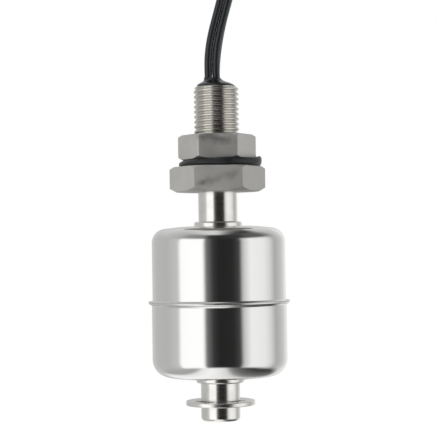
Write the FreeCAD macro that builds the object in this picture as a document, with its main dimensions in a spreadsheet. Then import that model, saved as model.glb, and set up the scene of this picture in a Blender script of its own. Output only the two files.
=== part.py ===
import FreeCAD, Part

import math
import os

import Sketcher

# Float level switch: a hexagon fitting with a threaded shank and a closed stem, a hollow steel
# float with a ring magnet that slides on the stem, and a reed switch potted inside it.
# Millimetres. The origin is on the stem's axis, on the flange's seating face; +Z runs to the leads.

# ---------------------------------------------------------------------------------------------
# Driving dimensions. Lengths are in millimetres and angles in degrees.
# ---------------------------------------------------------------------------------------------

DIMENSIONS = (
    # fitting
    ("thread_diameter", 9.45),
    ("thread_run_out_depth", 0.625),
    ("thread_run_out_length", 1.3),
    ("shank_length", 16.9),
    ("shank_chamfer", 0.45),
    ("flange_flats", 17.65),
    ("flange_height", 5.3),
    ("flange_turn", 1.2),
    ("stem_diameter", 8.25),
    ("stem_length", 48.4),
    ("stem_end_round", 0.8),
    ("stem_wall", 0.925),
    ("bore_floor_thickness", 6.9),
    ("drill_point_height", 1.9),
    # hexagon corners are turned off on a cone
    ("hex_chamfer_share", 0.95),
    ("hex_chamfer_angle", 30.0),
    ("turning_margin", 1.0),
    # jam nut
    ("nut_flats", 14.4),
    ("nut_height", 5.3),
    ("nut_turn", 1.6),
    ("nut_thread_clearance", 0.05),
    ("nut_countersink", 0.35),
    # gasket
    ("gasket_play", 0.875),
    ("gasket_width", 3.2),
    ("gasket_thickness", 1.4),
    ("gasket_edge_round", 0.4),
    ("gasket_shift", 0.75),
    # retaining ring
    ("ring_width", 3.8),
    ("ring_groove_depth", 0.625),
    ("ring_thickness", 0.9),
    ("ring_groove_play", 0.04),
    ("ring_seat_play", 0.02),
    ("ring_relief_depth", 1.7),
    ("ring_relief_start_angle", 292.0),
    ("ring_relief_end_angle", 352.0),
    ("ring_mouth_width", 5.9),
    ("ring_from_stem_end", 3.35),
    # float
    ("float_top_gap", 7.7),
    ("float_bottom_gap", 5.15),
    ("float_diameter", 28.2),
    ("lower_shell_growth", 0.15),
    ("upper_shoulder_radius", 3.0),
    ("lower_shoulder_radius", 3.7),
    ("shell_wall", 0.4),
    ("lip_reach", 0.7),
    ("lip_thickness", 0.3),
    ("lip_bend_radius", 0.3),
    ("float_play", 0.45),
    ("float_tube_wall", 0.5),
    ("float_tube_stand_out", 1.35),
    ("float_tube_edge_round", 0.35),
    # magnet
    ("magnet_width", 3.325),
    ("magnet_height", 9.0),
    ("magnet_chamfer", 0.5),
    ("magnet_play", 0.1),
    ("clip_width", 2.225),
    ("clip_thickness", 0.4),
    ("clip_dish", 0.6),
    ("clip_play", 0.02),
    # reed switch
    ("reed_above_seam", 7.65),
    ("reed_offset", -1.1),
    ("glass_diameter", 2.2),
    ("glass_wall", 0.35),
    ("glass_length", 14.0),
    ("glass_seal_length", 2.2),
    ("glass_end_round", 0.4),
    ("blade_width", 1.1),
    ("blade_thickness", 0.2),
    ("blade_overlap", 0.9),
    ("contact_gap", 0.06),
    ("wire_diameter", 0.5),
    ("blade_root", 0.4),
    ("lower_joint_below_reed", 14.0),
    ("return_bend_below_joint", 3.0),
    # insulation inside the stem
    ("sleeve_wall", 0.2),
    ("sleeve_play", 0.02),
    ("splice_grip", 1.5),
    ("splice_length", 7.0),
    ("carrier_play", 0.1),
    ("carrier_wall", 0.4),
    ("carrier_below_flange", 0.7),
    ("carrier_floor_gap", 0.1),
    # potting
    ("potting_depth", 6.3),
    ("potting_gap", 0.01),
    ("potting_lap_margin", 0.575),
    ("potting_neck_step", 1.15),
    ("potting_height", 1.5),
    ("potting_rise_radius", 2.2),
    # leads
    ("lead_diameter", 1.6),
    ("lead_start_level", 8.5),
    ("lead_straight_start", 3.5),
    ("insulation_thickness", 0.425),
    ("tip_length", 5.0),
    ("tail_length", 6.0),
    # coil of put-away lead
    ("coil_centre_across", -1.67),
    ("coil_centre_level", -30.5),
    ("coil_front", 17.2),
    ("coil_depth", 6.9),
    ("coil_inner_radius", 7.4),
    ("coil_width", 3.2),
    ("coil_edge_round", 0.7),
    ("tie_width", 2.4),
    ("tie_thickness", 0.7),
    ("tie_play", 0.15),
)

# Control points of the two leads, above the straight length that starts at their joints. They
# rise side by side out of the casting resin, arch over to the back and drop to the coil.
LEAD_A_ROUTE = (
    (-1.67, 0.0, 18.0),
    (-1.60, 0.0, 25.6),
    (1.12, 0.0, 35.3),
    (3.10, 0.0, 43.0),
    (4.10, 5.3, 48.3),
    (4.00, 12.7, 48.3),
    (2.80, 18.0, 43.0),
    (-1.25, 18.0, 29.0),
    (-1.82, 18.1, 17.5),
    (-2.30, 18.2, 6.0),
    (-2.45, 18.2, -4.3),
    (0.36, 18.1, -15.9),
    (5.62, 18.0, -26.75),
)
LEAD_B_ROUTE = (
    (-0.03, 0.0, 18.0),
    (0.06, 0.0, 25.4),
    (2.76, 0.0, 35.1),
    (4.80, 0.0, 42.9),
    (5.78, 5.3, 48.3),
    (5.68, 12.7, 48.3),
    (4.52, 18.0, 43.0),
    (0.46, 18.0, 29.0),
    (-0.18, 18.1, 17.5),
    (-0.66, 18.2, 6.0),
    (-0.81, 18.2, -4.1),
    (1.93, 18.1, -15.3),
    (7.08, 18.0, -26.05),
)
# Where the insulation of each lead ends behind the coil, and the way the lead points there.
LEAD_A_END = ((-4.30, 23.25, -41.65), (-0.857, 0.0, -0.515))
LEAD_B_END = ((-2.36, 22.39, -18.12), (0.755, 0.0, 0.656))

ARC_SHARE = 0.45
HEX_CORNER = 1 / math.sqrt(3)
FULL_TURN = 360
NO_LENGTH = 1e-6


# ---------------------------------------------------------------------------------------------
# Sizes as expressions on the sheet
# ---------------------------------------------------------------------------------------------


class Size:
    """A length written as an expression on the sheet, with the value that it has now."""

    def __init__(self, text, value):
        self.text = text
        self.value = value

    def __add__(self, other):
        other = as_size(other)
        return Size(f"({self.text} + {other.text})", self.value + other.value)

    def __sub__(self, other):
        other = as_size(other)
        return Size(f"({self.text} - {other.text})", self.value - other.value)

    def __mul__(self, other):
        other = as_size(other)
        return Size(f"({self.text} * {other.text})", self.value * other.value)

    def __truediv__(self, other):
        other = as_size(other)
        return Size(f"({self.text} / {other.text})", self.value / other.value)

    def __neg__(self):
        return Size(f"(0 - {self.text})", -self.value)


def as_size(number):
    """A plain number as a size."""
    if isinstance(number, Size):
        return number
    return Size(f"{number:.10f}", float(number))


def half(size):
    """Half of a size, such as the radius of a diameter."""
    return size / 2


def cosine(angle):
    """The cosine of an angle on the sheet."""
    return Size(f"cos({angle.text} * 1 deg)", math.cos(math.radians(angle.value)))


def sine(angle):
    """The sine of an angle on the sheet."""
    return Size(f"sin({angle.text} * 1 deg)", math.sin(math.radians(angle.value)))


def make_sheet(doc):
    """Puts the driving dimensions on a sheet and gives them back by name."""
    sheet = doc.addObject("Spreadsheet::Sheet", "sizes")
    sizes = {}
    for row, (name, value) in enumerate(DIMENSIONS, start=1):
        cell = f"A{row}"
        sheet.set(cell, str(value))
        sheet.setAlias(cell, name)
        sizes[name] = Size(f"sizes.{name}", value)
    doc.recompute()
    return sizes


# ---------------------------------------------------------------------------------------------
# Drawing helpers
# ---------------------------------------------------------------------------------------------


def make_body(doc, name):
    """An empty body whose label names the piece's file."""
    body = doc.addObject("PartDesign::Body", name)
    body.Label = name
    return body


def make_sketch(body, name, role):
    """A sketch on one of the body's own origin planes."""
    sketch = body.newObject("Sketcher::SketchObject", name)
    plane = next(f for f in body.Origin.OriginFeatures if f.Role == role)
    sketch.AttachmentSupport = [(plane, "")]
    sketch.MapMode = "FlatFace"
    return sketch


def tie_value(sketch, kind, parts, size):
    """Adds a dimension to a sketch and binds it to a size."""
    index = sketch.addConstraint(Sketcher.Constraint(kind, *parts, size.value))
    sketch.setExpression(f"Constraints[{index}]", size.text)


def arc_between(start, end, radius, turn):
    """The short arc from start to end: turn 1 runs anticlockwise and turn -1 clockwise."""
    chord = end - start
    reach = math.sqrt(max(radius**2 - chord.Length**2 / 4, 0))
    side = FreeCAD.Vector(-chord.y, chord.x, 0).normalize() * turn
    centre = (start + end) / 2 + side * reach
    first, last = (start, end) if turn > 0 else (end, start)
    angles = [math.atan2(p.y - centre.y, p.x - centre.x) for p in (first, last)]
    if angles[1] < angles[0]:
        angles[1] += 2 * math.pi
    circle = Part.Circle(centre, FreeCAD.Vector(0, 0, 1), radius)
    return Part.ArcOfCircle(circle, *angles)


def draw_outline(body, name, role, corners):
    """A closed outline. A corner is (across, up), or (across, up, radius, turn) after an arc."""
    sketch = make_sketch(body, name, role)
    corners = [tuple(as_size(v) for v in c[:2]) + tuple(c[2:]) for c in corners]
    places = [FreeCAD.Vector(c[0].value, c[1].value, 0) for c in corners]
    ends = []
    for index, place in enumerate(places):
        following = (index + 1) % len(corners)
        arc = corners[following][2:]
        if arc:
            radius, turn = arc
            edge = arc_between(place, places[following], radius.value, turn)
            ends.append((1, 2) if turn > 0 else (2, 1))
        else:
            edge = Part.LineSegment(place, places[following])
            ends.append((1, 2))
        sketch.addGeometry(edge, False)
    for index, corner in enumerate(corners):
        following = (index + 1) % len(corners)
        joint = (index, ends[index][1], following, ends[following][0])
        sketch.addConstraint(Sketcher.Constraint("Coincident", *joint))
        tie_value(sketch, "DistanceX", (-1, 1, index, ends[index][0]), corner[0])
        tie_value(sketch, "DistanceY", (-1, 1, index, ends[index][0]), corner[1])
        arc = corners[following][2:]
        if arc:
            tie_value(sketch, "Radius", (index,), arc[0])
    return sketch


def draw_circle(body, name, role, radius):
    """A circle about the body's origin."""
    sketch = make_sketch(body, name, role)
    circle = Part.Circle(FreeCAD.Vector(), FreeCAD.Vector(0, 0, 1), radius.value)
    sketch.addGeometry(circle, False)
    sketch.addConstraint(Sketcher.Constraint("Coincident", 0, 3, -1, 1))
    tie_value(sketch, "Radius", (0,), radius)
    return sketch


def turn_outline(body, kind, name, corners):
    """Turns an outline about the Z axis: Revolution adds metal and Groove takes it away."""
    sketch = draw_outline(body, f"{name}_outline", "XZ_Plane", corners)
    feature = body.newObject(f"PartDesign::{kind}", name)
    feature.Profile = sketch
    feature.ReferenceAxis = (sketch, ["V_Axis"])
    feature.Angle = FULL_TURN
    return feature


def raise_sketch(body, name, sketch, height, downward=False):
    """A pad of a sketch."""
    pad = body.newObject("PartDesign::Pad", name)
    pad.Profile = sketch
    pad.Length = height.value
    pad.setExpression("Length", height.text)
    pad.Reversed = downward
    return pad


def cut_sketch(body, name, sketch, depth):
    """A pocket that cuts to both sides of its sketch."""
    pocket = body.newObject("PartDesign::Pocket", name)
    pocket.Profile = sketch
    pocket.Length = depth.value
    pocket.setExpression("Length", depth.text)
    pocket.Midplane = True
    return pocket


def hexagon(flats):
    """The corners of a hexagon whose flats face the front and the back."""
    corner = flats * HEX_CORNER
    side = half(flats)
    return (
        (corner, 0),
        (half(corner), side),
        (-half(corner), side),
        (-corner, 0),
        (-half(corner), -side),
        (half(corner), -side),
    )


def chamfer_hexagon(body, name, flats, level, way, sizes):
    """Turns the corners of a hexagon's face off on a cone. way is 1 for the upper face."""
    inner = half(flats) * sizes["hex_chamfer_share"]
    outer = flats * HEX_CORNER + sizes["turning_margin"]
    slope = sine(sizes["hex_chamfer_angle"]) / cosine(sizes["hex_chamfer_angle"])
    drop = (outer - inner) * slope * way
    clear = level + sizes["turning_margin"] * way
    corners = ((inner, level), (inner, clear), (outer, clear), (outer, level - drop))
    turn_outline(body, "Groove", name, corners)


def place_object(item, across=None, level=None, turn=None):
    """Binds an object's place along X and Z, and its turn about Z."""
    item.Placement = FreeCAD.Placement()
    if across is not None:
        item.setExpression("Placement.Base.x", across.text)
    if level is not None:
        item.setExpression("Placement.Base.z", level.text)
    if turn is not None:
        item.setExpression("Placement.Rotation.Angle", f"{turn.text} * 1 deg")


def tube_between(doc, name, outer, inner, low, high, across=None):
    """A plain tube from one level to another."""
    rod = doc.addObject("Part::Cylinder", f"{name}_rod")
    hole = doc.addObject("Part::Cylinder", f"{name}_hole")
    for item, diameter in ((rod, outer), (hole, inner)):
        item.setExpression("Radius", half(diameter).text)
        item.setExpression("Height", (high - low).text)
        place_object(item, across=across, level=low)
    tube = doc.addObject("Part::Cut", name)
    tube.Base = rod
    tube.Tool = hole
    tube.Label = name
    return tube


# ---------------------------------------------------------------------------------------------
# Fitting, nut, gasket and retaining ring
# ---------------------------------------------------------------------------------------------


def ring_levels(sizes):
    """The lower and upper face of the retaining ring."""
    stem_end = -(sizes["flange_height"] + sizes["stem_length"])
    low = stem_end + sizes["ring_from_stem_end"]
    return low, low + sizes["ring_thickness"]


def groove_radius(sizes):
    """The radius at the bottom of the retaining ring's groove."""
    return half(sizes["stem_diameter"]) - sizes["ring_groove_depth"]


def bore_radius(sizes):
    """The radius of the fitting's bore."""
    return half(sizes["stem_diameter"]) - sizes["stem_wall"]


def bore_floor(sizes):
    """The level where the bore's wall ends and its drill point starts."""
    return sizes["bore_floor_thickness"] - sizes["flange_height"] - sizes["stem_length"]


def make_stem_body(doc, sizes):
    """Flange, shank and closed stem, turned from hexagon bar and drilled from the lead end."""
    body = make_body(doc, "stem_body")
    flats = sizes["flange_flats"]
    flange_floor = -sizes["flange_height"]
    sketch = draw_outline(body, "flange_outline", "XY_Plane", hexagon(flats))
    raise_sketch(body, "flange", sketch, sizes["flange_height"], downward=True)

    thread = half(sizes["thread_diameter"])
    run_out = thread - sizes["thread_run_out_depth"]
    stem = half(sizes["stem_diameter"])
    shank_end = sizes["shank_length"]
    chamfer = sizes["shank_chamfer"]
    stem_end = flange_floor - sizes["stem_length"]
    end_round = sizes["stem_end_round"]
    turn_outline(
        body,
        "Revolution",
        "shank_and_stem",
        (
            (0, shank_end),
            (thread - chamfer, shank_end),
            (thread, shank_end - chamfer),
            (thread, sizes["thread_run_out_length"]),
            (run_out, sizes["thread_run_out_length"] - sizes["thread_run_out_depth"]),
            (run_out, half(flange_floor)),
            (stem, half(flange_floor)),
            (stem, stem_end + end_round),
            (stem - end_round, stem_end, end_round, -1),
            (0, stem_end),
        ),
    )
    chamfer_hexagon(body, "flange_upper_chamfer", flats, as_size(0), 1, sizes)
    chamfer_hexagon(body, "flange_lower_chamfer", flats, flange_floor, -1, sizes)

    low, high = ring_levels(sizes)
    play = half(sizes["ring_groove_play"])
    groove = groove_radius(sizes)
    clear = stem + sizes["turning_margin"]
    corners = ((groove, low - play), (clear, low - play), (clear, high + play), (groove, high + play))
    turn_outline(body, "Groove", "ring_groove", corners)

    bore = bore_radius(sizes)
    floor = bore_floor(sizes)
    mouth = shank_end + sizes["turning_margin"]
    corners = ((0, mouth), (bore, mouth), (bore, floor), (0, floor - sizes["drill_point_height"]))
    turn_outline(body, "Groove", "bore", corners)
    place_object(body, turn=sizes["flange_turn"])
    return body


def make_jam_nut(doc, sizes):
    """Thin hexagon nut that stands on the gasket."""
    body = make_body(doc, "jam_nut")
    flats = sizes["nut_flats"]
    height = sizes["nut_height"]
    sketch = draw_outline(body, "nut_outline", "XY_Plane", hexagon(flats))
    raise_sketch(body, "nut_block", sketch, height)
    chamfer_hexagon(body, "nut_upper_chamfer", flats, height, 1, sizes)
    chamfer_hexagon(body, "nut_lower_chamfer", flats, as_size(0), -1, sizes)
    bore = half(sizes["thread_diameter"]) + sizes["nut_thread_clearance"]
    sink = sizes["nut_countersink"]
    margin = sizes["turning_margin"]
    turn_outline(
        body,
        "Groove",
        "nut_bore",
        (
            (0, -margin),
            (bore + sink + margin, -margin),
            (bore + sink, 0),
            (bore, sink),
            (bore, height - sink),
            (bore + sink, height),
            (bore + sink + margin, height + margin),
            (0, height + margin),
        ),
    )
    place_object(body, level=sizes["gasket_thickness"], turn=sizes["nut_turn"])
    return body


def make_gasket(doc, sizes):
    """Rubber washer, loose on the shank and pushed to one side."""
    body = make_body(doc, "gasket")
    inner = half(sizes["thread_diameter"]) + sizes["gasket_play"]
    outer = inner + sizes["gasket_width"]
    thick = sizes["gasket_thickness"]
    edge = sizes["gasket_edge_round"]
    turn_outline(
        body,
        "Revolution",
        "washer",
        (
            (inner, 0),
            (outer - edge, 0),
            (outer, edge, edge, 1),
            (outer, thick - edge),
            (outer - edge, thick, edge, 1),
            (inner, thick),
        ),
    )
    place_object(body, across=sizes["gasket_shift"])
    return body


def make_retaining_ring(doc, sizes):
    """E-shaped ring: three lugs grip the groove and the mouth opens to the back."""
    body = make_body(doc, "retaining_ring")
    thick = sizes["ring_thickness"]
    cut = thick * 4
    groove = groove_radius(sizes)
    rim = groove + sizes["ring_width"]
    disc = draw_circle(body, "ring_outline", "XY_Plane", rim)
    raise_sketch(body, "ring_disc", disc, thick)
    seat = groove + sizes["ring_seat_play"]
    hole = draw_circle(body, "ring_seat_outline", "XY_Plane", seat)
    cut_sketch(body, "ring_seat", hole, cut)
    side = half(sizes["ring_mouth_width"])
    clear = rim + sizes["turning_margin"]
    corners = ((-side, 0), (side, 0), (side, clear), (-side, clear))
    mouth = draw_outline(body, "ring_mouth_outline", "XY_Plane", corners)
    cut_sketch(body, "ring_mouth", mouth, cut)
    relief = groove + sizes["ring_relief_depth"]
    inner = seat - half(sizes["ring_thickness"])
    start = sizes["ring_relief_start_angle"]
    end = sizes["ring_relief_end_angle"]
    corners = (
        (cosine(start) * inner, sine(start) * inner),
        (cosine(start) * relief, sine(start) * relief),
        (cosine(end) * relief, sine(end) * relief, relief, 1),
        (cosine(end) * inner, sine(end) * inner),
    )
    sketch = draw_outline(body, "ring_relief_outline", "XY_Plane", corners)
    pocket = cut_sketch(body, "ring_relief", sketch, cut)
    mirrored = body.newObject("PartDesign::Mirrored", "ring_relief_pair")
    mirrored.Originals = [pocket]
    mirrored.MirrorPlane = (sketch, ["V_Axis"])
    body.Tip = mirrored
    place_object(body, level=ring_levels(sizes)[0])
    return body


# ---------------------------------------------------------------------------------------------
# Float
# ---------------------------------------------------------------------------------------------


def float_levels(sizes):
    """The float's lower face, seam and upper face, midway in its travel."""
    top = -(sizes["flange_height"] + sizes["float_top_gap"])
    low = ring_levels(sizes)[1] + sizes["float_bottom_gap"]
    return low, (low + top) / 2, top


def float_tube_radii(sizes):
    """The inner and outer radius of the float's centre tube."""
    inner = half(sizes["stem_diameter"]) + sizes["float_play"]
    return inner, inner + sizes["float_tube_wall"]


def lower_shell_radius(sizes):
    """The radius of the lower half, which is a little wider than the upper one."""
    return half(sizes["float_diameter"]) + sizes["lower_shell_growth"]


def make_shell(doc, name, outer, shoulder, end, seam, way, sizes):
    """One drawn half: flat end, rounded shoulder, wall and welding lip. way is 1 for the upper."""
    body = make_body(doc, name)
    wall = sizes["shell_wall"]
    _, tube = float_tube_radii(sizes)
    lip = lower_shell_radius(sizes) + sizes["lip_reach"]
    bend = sizes["lip_bend_radius"]
    lip_face = seam + sizes["lip_thickness"] * way
    turn_outline(
        body,
        "Revolution",
        "drawn_shell",
        (
            (tube, end),
            (outer - shoulder, end),
            (outer, end - shoulder * way, shoulder, -way),
            (outer, lip_face + bend * way),
            (outer + bend, lip_face, bend, way),
            (lip, lip_face),
            (lip, seam),
            (outer + bend, seam),
            (outer - wall, seam + (bend + wall) * way, bend + wall, -way),
            (outer - wall, end - shoulder * way),
            (outer - shoulder, end - wall * way, shoulder - wall, way),
            (tube, end - wall * way),
        ),
    )
    place_object(body)
    return body


def make_float_shells(doc, sizes):
    """The two halves, which meet lip to lip at the seam."""
    low, seam, top = float_levels(sizes)
    upper = half(sizes["float_diameter"])
    lower = lower_shell_radius(sizes)
    radius = sizes["upper_shoulder_radius"]
    shell_a = make_shell(doc, "float_upper_shell", upper, radius, top, seam, 1, sizes)
    radius = sizes["lower_shoulder_radius"]
    shell_b = make_shell(doc, "float_lower_shell", lower, radius, low, seam, -1, sizes)
    return [shell_a, shell_b]


def make_float_tube(doc, sizes):
    """Centre tube, welded to both shells, with rounded ends that stand out of them."""
    body = make_body(doc, "float_tube")
    low, _, top = float_levels(sizes)
    inner, outer = float_tube_radii(sizes)
    edge = sizes["float_tube_edge_round"]
    upper_end = top + sizes["float_tube_stand_out"]
    lower_end = low - sizes["float_tube_stand_out"]
    turn_outline(
        body,
        "Revolution",
        "tube_wall",
        (
            (inner, lower_end),
            (outer - edge, lower_end),
            (outer, lower_end + edge, edge, 1),
            (outer, upper_end - edge),
            (outer - edge, upper_end, edge, 1),
            (inner, upper_end),
        ),
    )
    place_object(body)
    return body


def make_ring_magnet(doc, sizes):
    """Ring magnet at the middle of the float's tube."""
    body = make_body(doc, "ring_magnet")
    _, seam, _ = float_levels(sizes)
    inner = float_tube_radii(sizes)[1] + sizes["magnet_play"]
    outer = inner + sizes["magnet_width"]
    chamfer = sizes["magnet_chamfer"]
    low = seam - half(sizes["magnet_height"])
    high = seam + half(sizes["magnet_height"])
    turn_outline(
        body,
        "Revolution",
        "magnet_ring",
        (
            (inner, low),
            (outer - chamfer, low),
            (outer, low + chamfer),
            (outer, high - chamfer),
            (outer - chamfer, high),
            (inner, high),
        ),
    )
    place_object(body)
    return body


def make_magnet_clips(doc, sizes):
    """Dished push-on rings that bite the tube above and below the magnet."""
    _, seam, _ = float_levels(sizes)
    reach = half(sizes["magnet_height"]) + sizes["clip_play"]
    thick = sizes["clip_thickness"]
    dish = sizes["clip_dish"]
    _, inner = float_tube_radii(sizes)
    outer = inner + sizes["clip_width"]
    clips = []
    for name, way in (("magnet_clip_upper", 1), ("magnet_clip_lower", -1)):
        body = make_body(doc, name)
        rim = seam + reach * way
        corners = (
            (inner, rim + dish * way),
            (outer, rim),
            (outer, rim + thick * way),
            (inner, rim + (dish + thick) * way),
        )
        turn_outline(body, "Revolution", "dished_ring", corners)
        place_object(body)
        clips.append(body)
    return clips


# ---------------------------------------------------------------------------------------------
# Reed switch and its wiring
# ---------------------------------------------------------------------------------------------


def reed_levels(sizes):
    """The capsule's middle, the joint below it and the level where the return wire bends."""
    reed = float_levels(sizes)[1] + sizes["reed_above_seam"]
    joint = reed - sizes["lower_joint_below_reed"]
    return reed, joint, joint - sizes["return_bend_below_joint"]


def make_reed_glass(doc, sizes):
    """Glass capsule, drawn out and sealed round the wire at both ends."""
    body = make_body(doc, "reed_glass")
    outer = half(sizes["glass_diameter"])
    inner = outer - sizes["glass_wall"]
    wire = half(sizes["wire_diameter"])
    end = half(sizes["glass_length"])
    seal = end - sizes["glass_seal_length"]
    taper = seal - (inner - wire)
    edge = sizes["glass_end_round"]
    turn_outline(
        body,
        "Revolution",
        "capsule",
        (
            (wire, -end),
            (outer - edge, -end),
            (outer, edge - end, edge, 1),
            (outer, end - edge),
            (outer - edge, end, edge, 1),
            (wire, end),
            (wire, seal),
            (inner, taper),
            (inner, -taper),
            (wire, -seal),
        ),
    )
    place_object(body, across=sizes["reed_offset"], level=reed_levels(sizes)[0])
    return body


def make_reed_blades(doc, sizes):
    """Flat contact blades that overlap in the capsule, each one with its round lead."""
    reed, joint, _ = reed_levels(sizes)
    root = sizes["blade_root"]
    seal = half(sizes["glass_length"]) - sizes["glass_seal_length"] - root
    lap = half(sizes["blade_overlap"])
    thick = sizes["blade_thickness"]
    gap = half(sizes["contact_gap"])
    top = sizes["lead_start_level"]
    ends = (
        ("reed_blade_upper", reed + seal - root, top, reed - lap, gap),
        ("reed_blade_lower", joint, reed - seal + root, reed - seal, -gap - thick),
    )
    blades = []
    for name, wire_low, wire_high, blade_low, face in ends:
        wire = doc.addObject("Part::Cylinder", f"{name}_wire")
        wire.setExpression("Radius", half(sizes["wire_diameter"]).text)
        wire.setExpression("Height", (wire_high - wire_low).text)
        place_object(wire, across=sizes["reed_offset"], level=wire_low)
        flat = doc.addObject("Part::Box", f"{name}_flat")
        flat.setExpression("Length", sizes["blade_width"].text)
        flat.setExpression("Width", thick.text)
        flat.setExpression("Height", (seal + lap).text)
        place_object(flat, across=sizes["reed_offset"] - half(sizes["blade_width"]), level=blade_low)
        flat.setExpression("Placement.Base.y", face.text)
        blade = doc.addObject("Part::Fuse", name)
        blade.Base = wire
        blade.Tool = flat
        blade.Label = name
        blades.append(blade)
    return blades


def make_splice_sleeve(doc, name, across, step, high, low, sizes):
    """Shrunk sleeve: wide over the lead's insulation above the step, narrow over the wire."""
    body = make_body(doc, name)
    wide = half(sizes["lead_diameter"]) + sizes["sleeve_play"]
    narrow = half(sizes["wire_diameter"]) + sizes["sleeve_play"]
    wall = sizes["sleeve_wall"]
    slope = wide - narrow
    turn_outline(
        body,
        "Revolution",
        "sleeve",
        (
            (narrow, low),
            (narrow + wall, low),
            (narrow + wall, step - slope),
            (wide + wall, step),
            (wide + wall, high),
            (wide, high),
            (wide, step),
            (narrow, step - slope),
        ),
    )
    place_object(body, across=across)
    return body


def make_insulation(doc, sizes):
    """Sleeves over the joints and the return wire, and the tube that carries the reed."""
    reed = sizes["reed_offset"]
    start = sizes["lead_start_level"]
    splice_high = start + sizes["splice_grip"]
    splice_low = splice_high - sizes["splice_length"]
    sleeves = [
        make_splice_sleeve(doc, "splice_sleeve_a", reed, start, splice_high, splice_low, sizes),
        make_splice_sleeve(doc, "splice_sleeve_b", -reed, start, splice_high, splice_low, sizes),
    ]
    bore = sizes["wire_diameter"] + sizes["sleeve_play"] * 2
    outer = bore + sizes["sleeve_wall"] * 2
    _, joint, bend = reed_levels(sizes)
    grip = sizes["splice_grip"]
    sleeves.append(
        tube_between(doc, "splice_sleeve_lower", outer, bore, joint - grip, joint + grip, across=reed)
    )
    sleeves.append(
        tube_between(
            doc,
            "return_sleeve",
            outer,
            bore,
            bend,
            splice_low - sizes["sleeve_play"],
            across=-reed,
        )
    )
    carrier = (bore_radius(sizes) - sizes["carrier_play"]) * 2
    sleeves.append(
        tube_between(
            doc,
            "reed_carrier",
            carrier,
            carrier - sizes["carrier_wall"] * 2,
            bore_floor(sizes) + sizes["carrier_floor_gap"],
            -(sizes["flange_height"] + sizes["carrier_below_flange"]),
        )
    )
    return sleeves


# ---------------------------------------------------------------------------------------------
# Leads, their coil and the potting
# ---------------------------------------------------------------------------------------------


def rounded_path(points, radii=None):
    """Straight runs joined by tangent arcs, with the arcs' radii and the path's length."""
    turns = []
    for before, corner, after in zip(points, points[1:], points[2:]):
        back = before - corner
        ahead = after - corner
        half_turn = (math.pi - back.getAngle(ahead)) / 2
        shorter = min(back.Length, ahead.Length)
        radius = radii or ARC_SHARE * shorter / math.tan(half_turn)
        reach = radius * math.tan(half_turn)
        back.normalize()
        ahead.normalize()
        middle = (back + ahead).normalize()
        depth = radius / math.cos(half_turn) - radius
        turns.append((corner + back * reach, corner + middle * depth, corner + ahead * reach, radius))
    edges = []
    here = points[0]
    for start, crown, end, _ in turns:
        if (start - here).Length > NO_LENGTH:
            edges.append(Part.LineSegment(here, start).toShape())
        edges.append(Part.Arc(start, crown, end).toShape())
        here = end
    if (points[-1] - here).Length > NO_LENGTH:
        edges.append(Part.LineSegment(here, points[-1]).toShape())
    return Part.Wire(edges), [turn[3] for turn in turns]


def wire_along(doc, name, points, diameter, radius=None):
    """A round wire or cord along a route of straight runs and arcs."""
    points = [FreeCAD.Vector(*p) for p in points]
    path, radii = rounded_path(points, radius)
    circle = Part.Circle(points[0], points[1] - points[0], diameter / 2)
    profile = Part.Wire([circle.toShape()])
    solid = path.makePipeShell([profile], True, False)
    expected = path.Length * math.pi * diameter**2 / 4
    print(
        f"{name}: length {path.Length:.1f}, radii {min(radii):.1f} to {max(radii):.1f},"
        f" volume {solid.Volume:.2f} of {expected:.2f}"
    )
    item = doc.addObject("Part::Feature", name)
    item.Shape = solid
    item.Label = name
    return item


def make_leads(doc, sizes):
    """The two leads, from their joints inside the shank to the coil."""
    diameter = sizes["lead_diameter"].value
    start = sizes["lead_start_level"].value
    straight = start + sizes["lead_straight_start"].value
    across = sizes["reed_offset"].value
    leads = []
    for name, side, route in (("lead_a", across, LEAD_A_ROUTE), ("lead_b", -across, LEAD_B_ROUTE)):
        points = ((side, 0, start), (side, 0, straight)) + route
        leads.append(wire_along(doc, name, points, diameter))
    return leads


def make_return_wire(doc, sizes):
    """Bare wire from the second lead down past the capsule and up to the lower blade's lead."""
    across = -sizes["reed_offset"].value
    _, joint, bend = reed_levels(sizes)
    low = bend.value - across
    route = (
        (across, 0, sizes["lead_start_level"].value),
        (across, 0, low),
        (-across, 0, low),
        (-across, 0, joint.value),
    )
    return wire_along(doc, "return_wire", route, sizes["wire_diameter"].value, radius=across)


def make_potting(doc, leads, sizes):
    """Casting resin: a plug in the bore and a meniscus that laps the shank's end face."""
    body = make_body(doc, "potting_block")
    bore = bore_radius(sizes) - sizes["potting_gap"]
    lap = half(sizes["thread_diameter"]) - sizes["potting_lap_margin"]
    neck = lap - sizes["potting_neck_step"]
    face = sizes["shank_length"]
    rise = sizes["potting_rise_radius"]
    turn_outline(
        body,
        "Revolution",
        "cast_resin",
        (
            (0, face - sizes["potting_depth"]),
            (bore, face - sizes["potting_depth"]),
            (bore, face + sizes["potting_gap"]),
            (lap, face + sizes["potting_gap"]),
            (neck, face + sizes["potting_height"], rise, -1),
            (0, face + sizes["potting_height"]),
        ),
    )
    potting = body
    for name, lead in zip(("potting_with_one_lead", "potting"), leads):
        cut = doc.addObject("Part::Cut", name)
        cut.Base = potting
        cut.Tool = lead
        potting = cut
    return potting


def make_straight_end(doc, name, end, ahead, diameter, length):
    """A straight round length that starts where a lead's insulation ends."""
    start, way = end
    item = doc.addObject("Part::Cylinder", name)
    item.setExpression("Radius", half(diameter).text)
    item.setExpression("Height", length.text)
    direction = FreeCAD.Vector(*way) * ahead
    turned = FreeCAD.Rotation(FreeCAD.Vector(0, 0, 1), direction)
    item.Placement = FreeCAD.Placement(FreeCAD.Vector(*start), turned)
    item.Label = name
    return item


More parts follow.
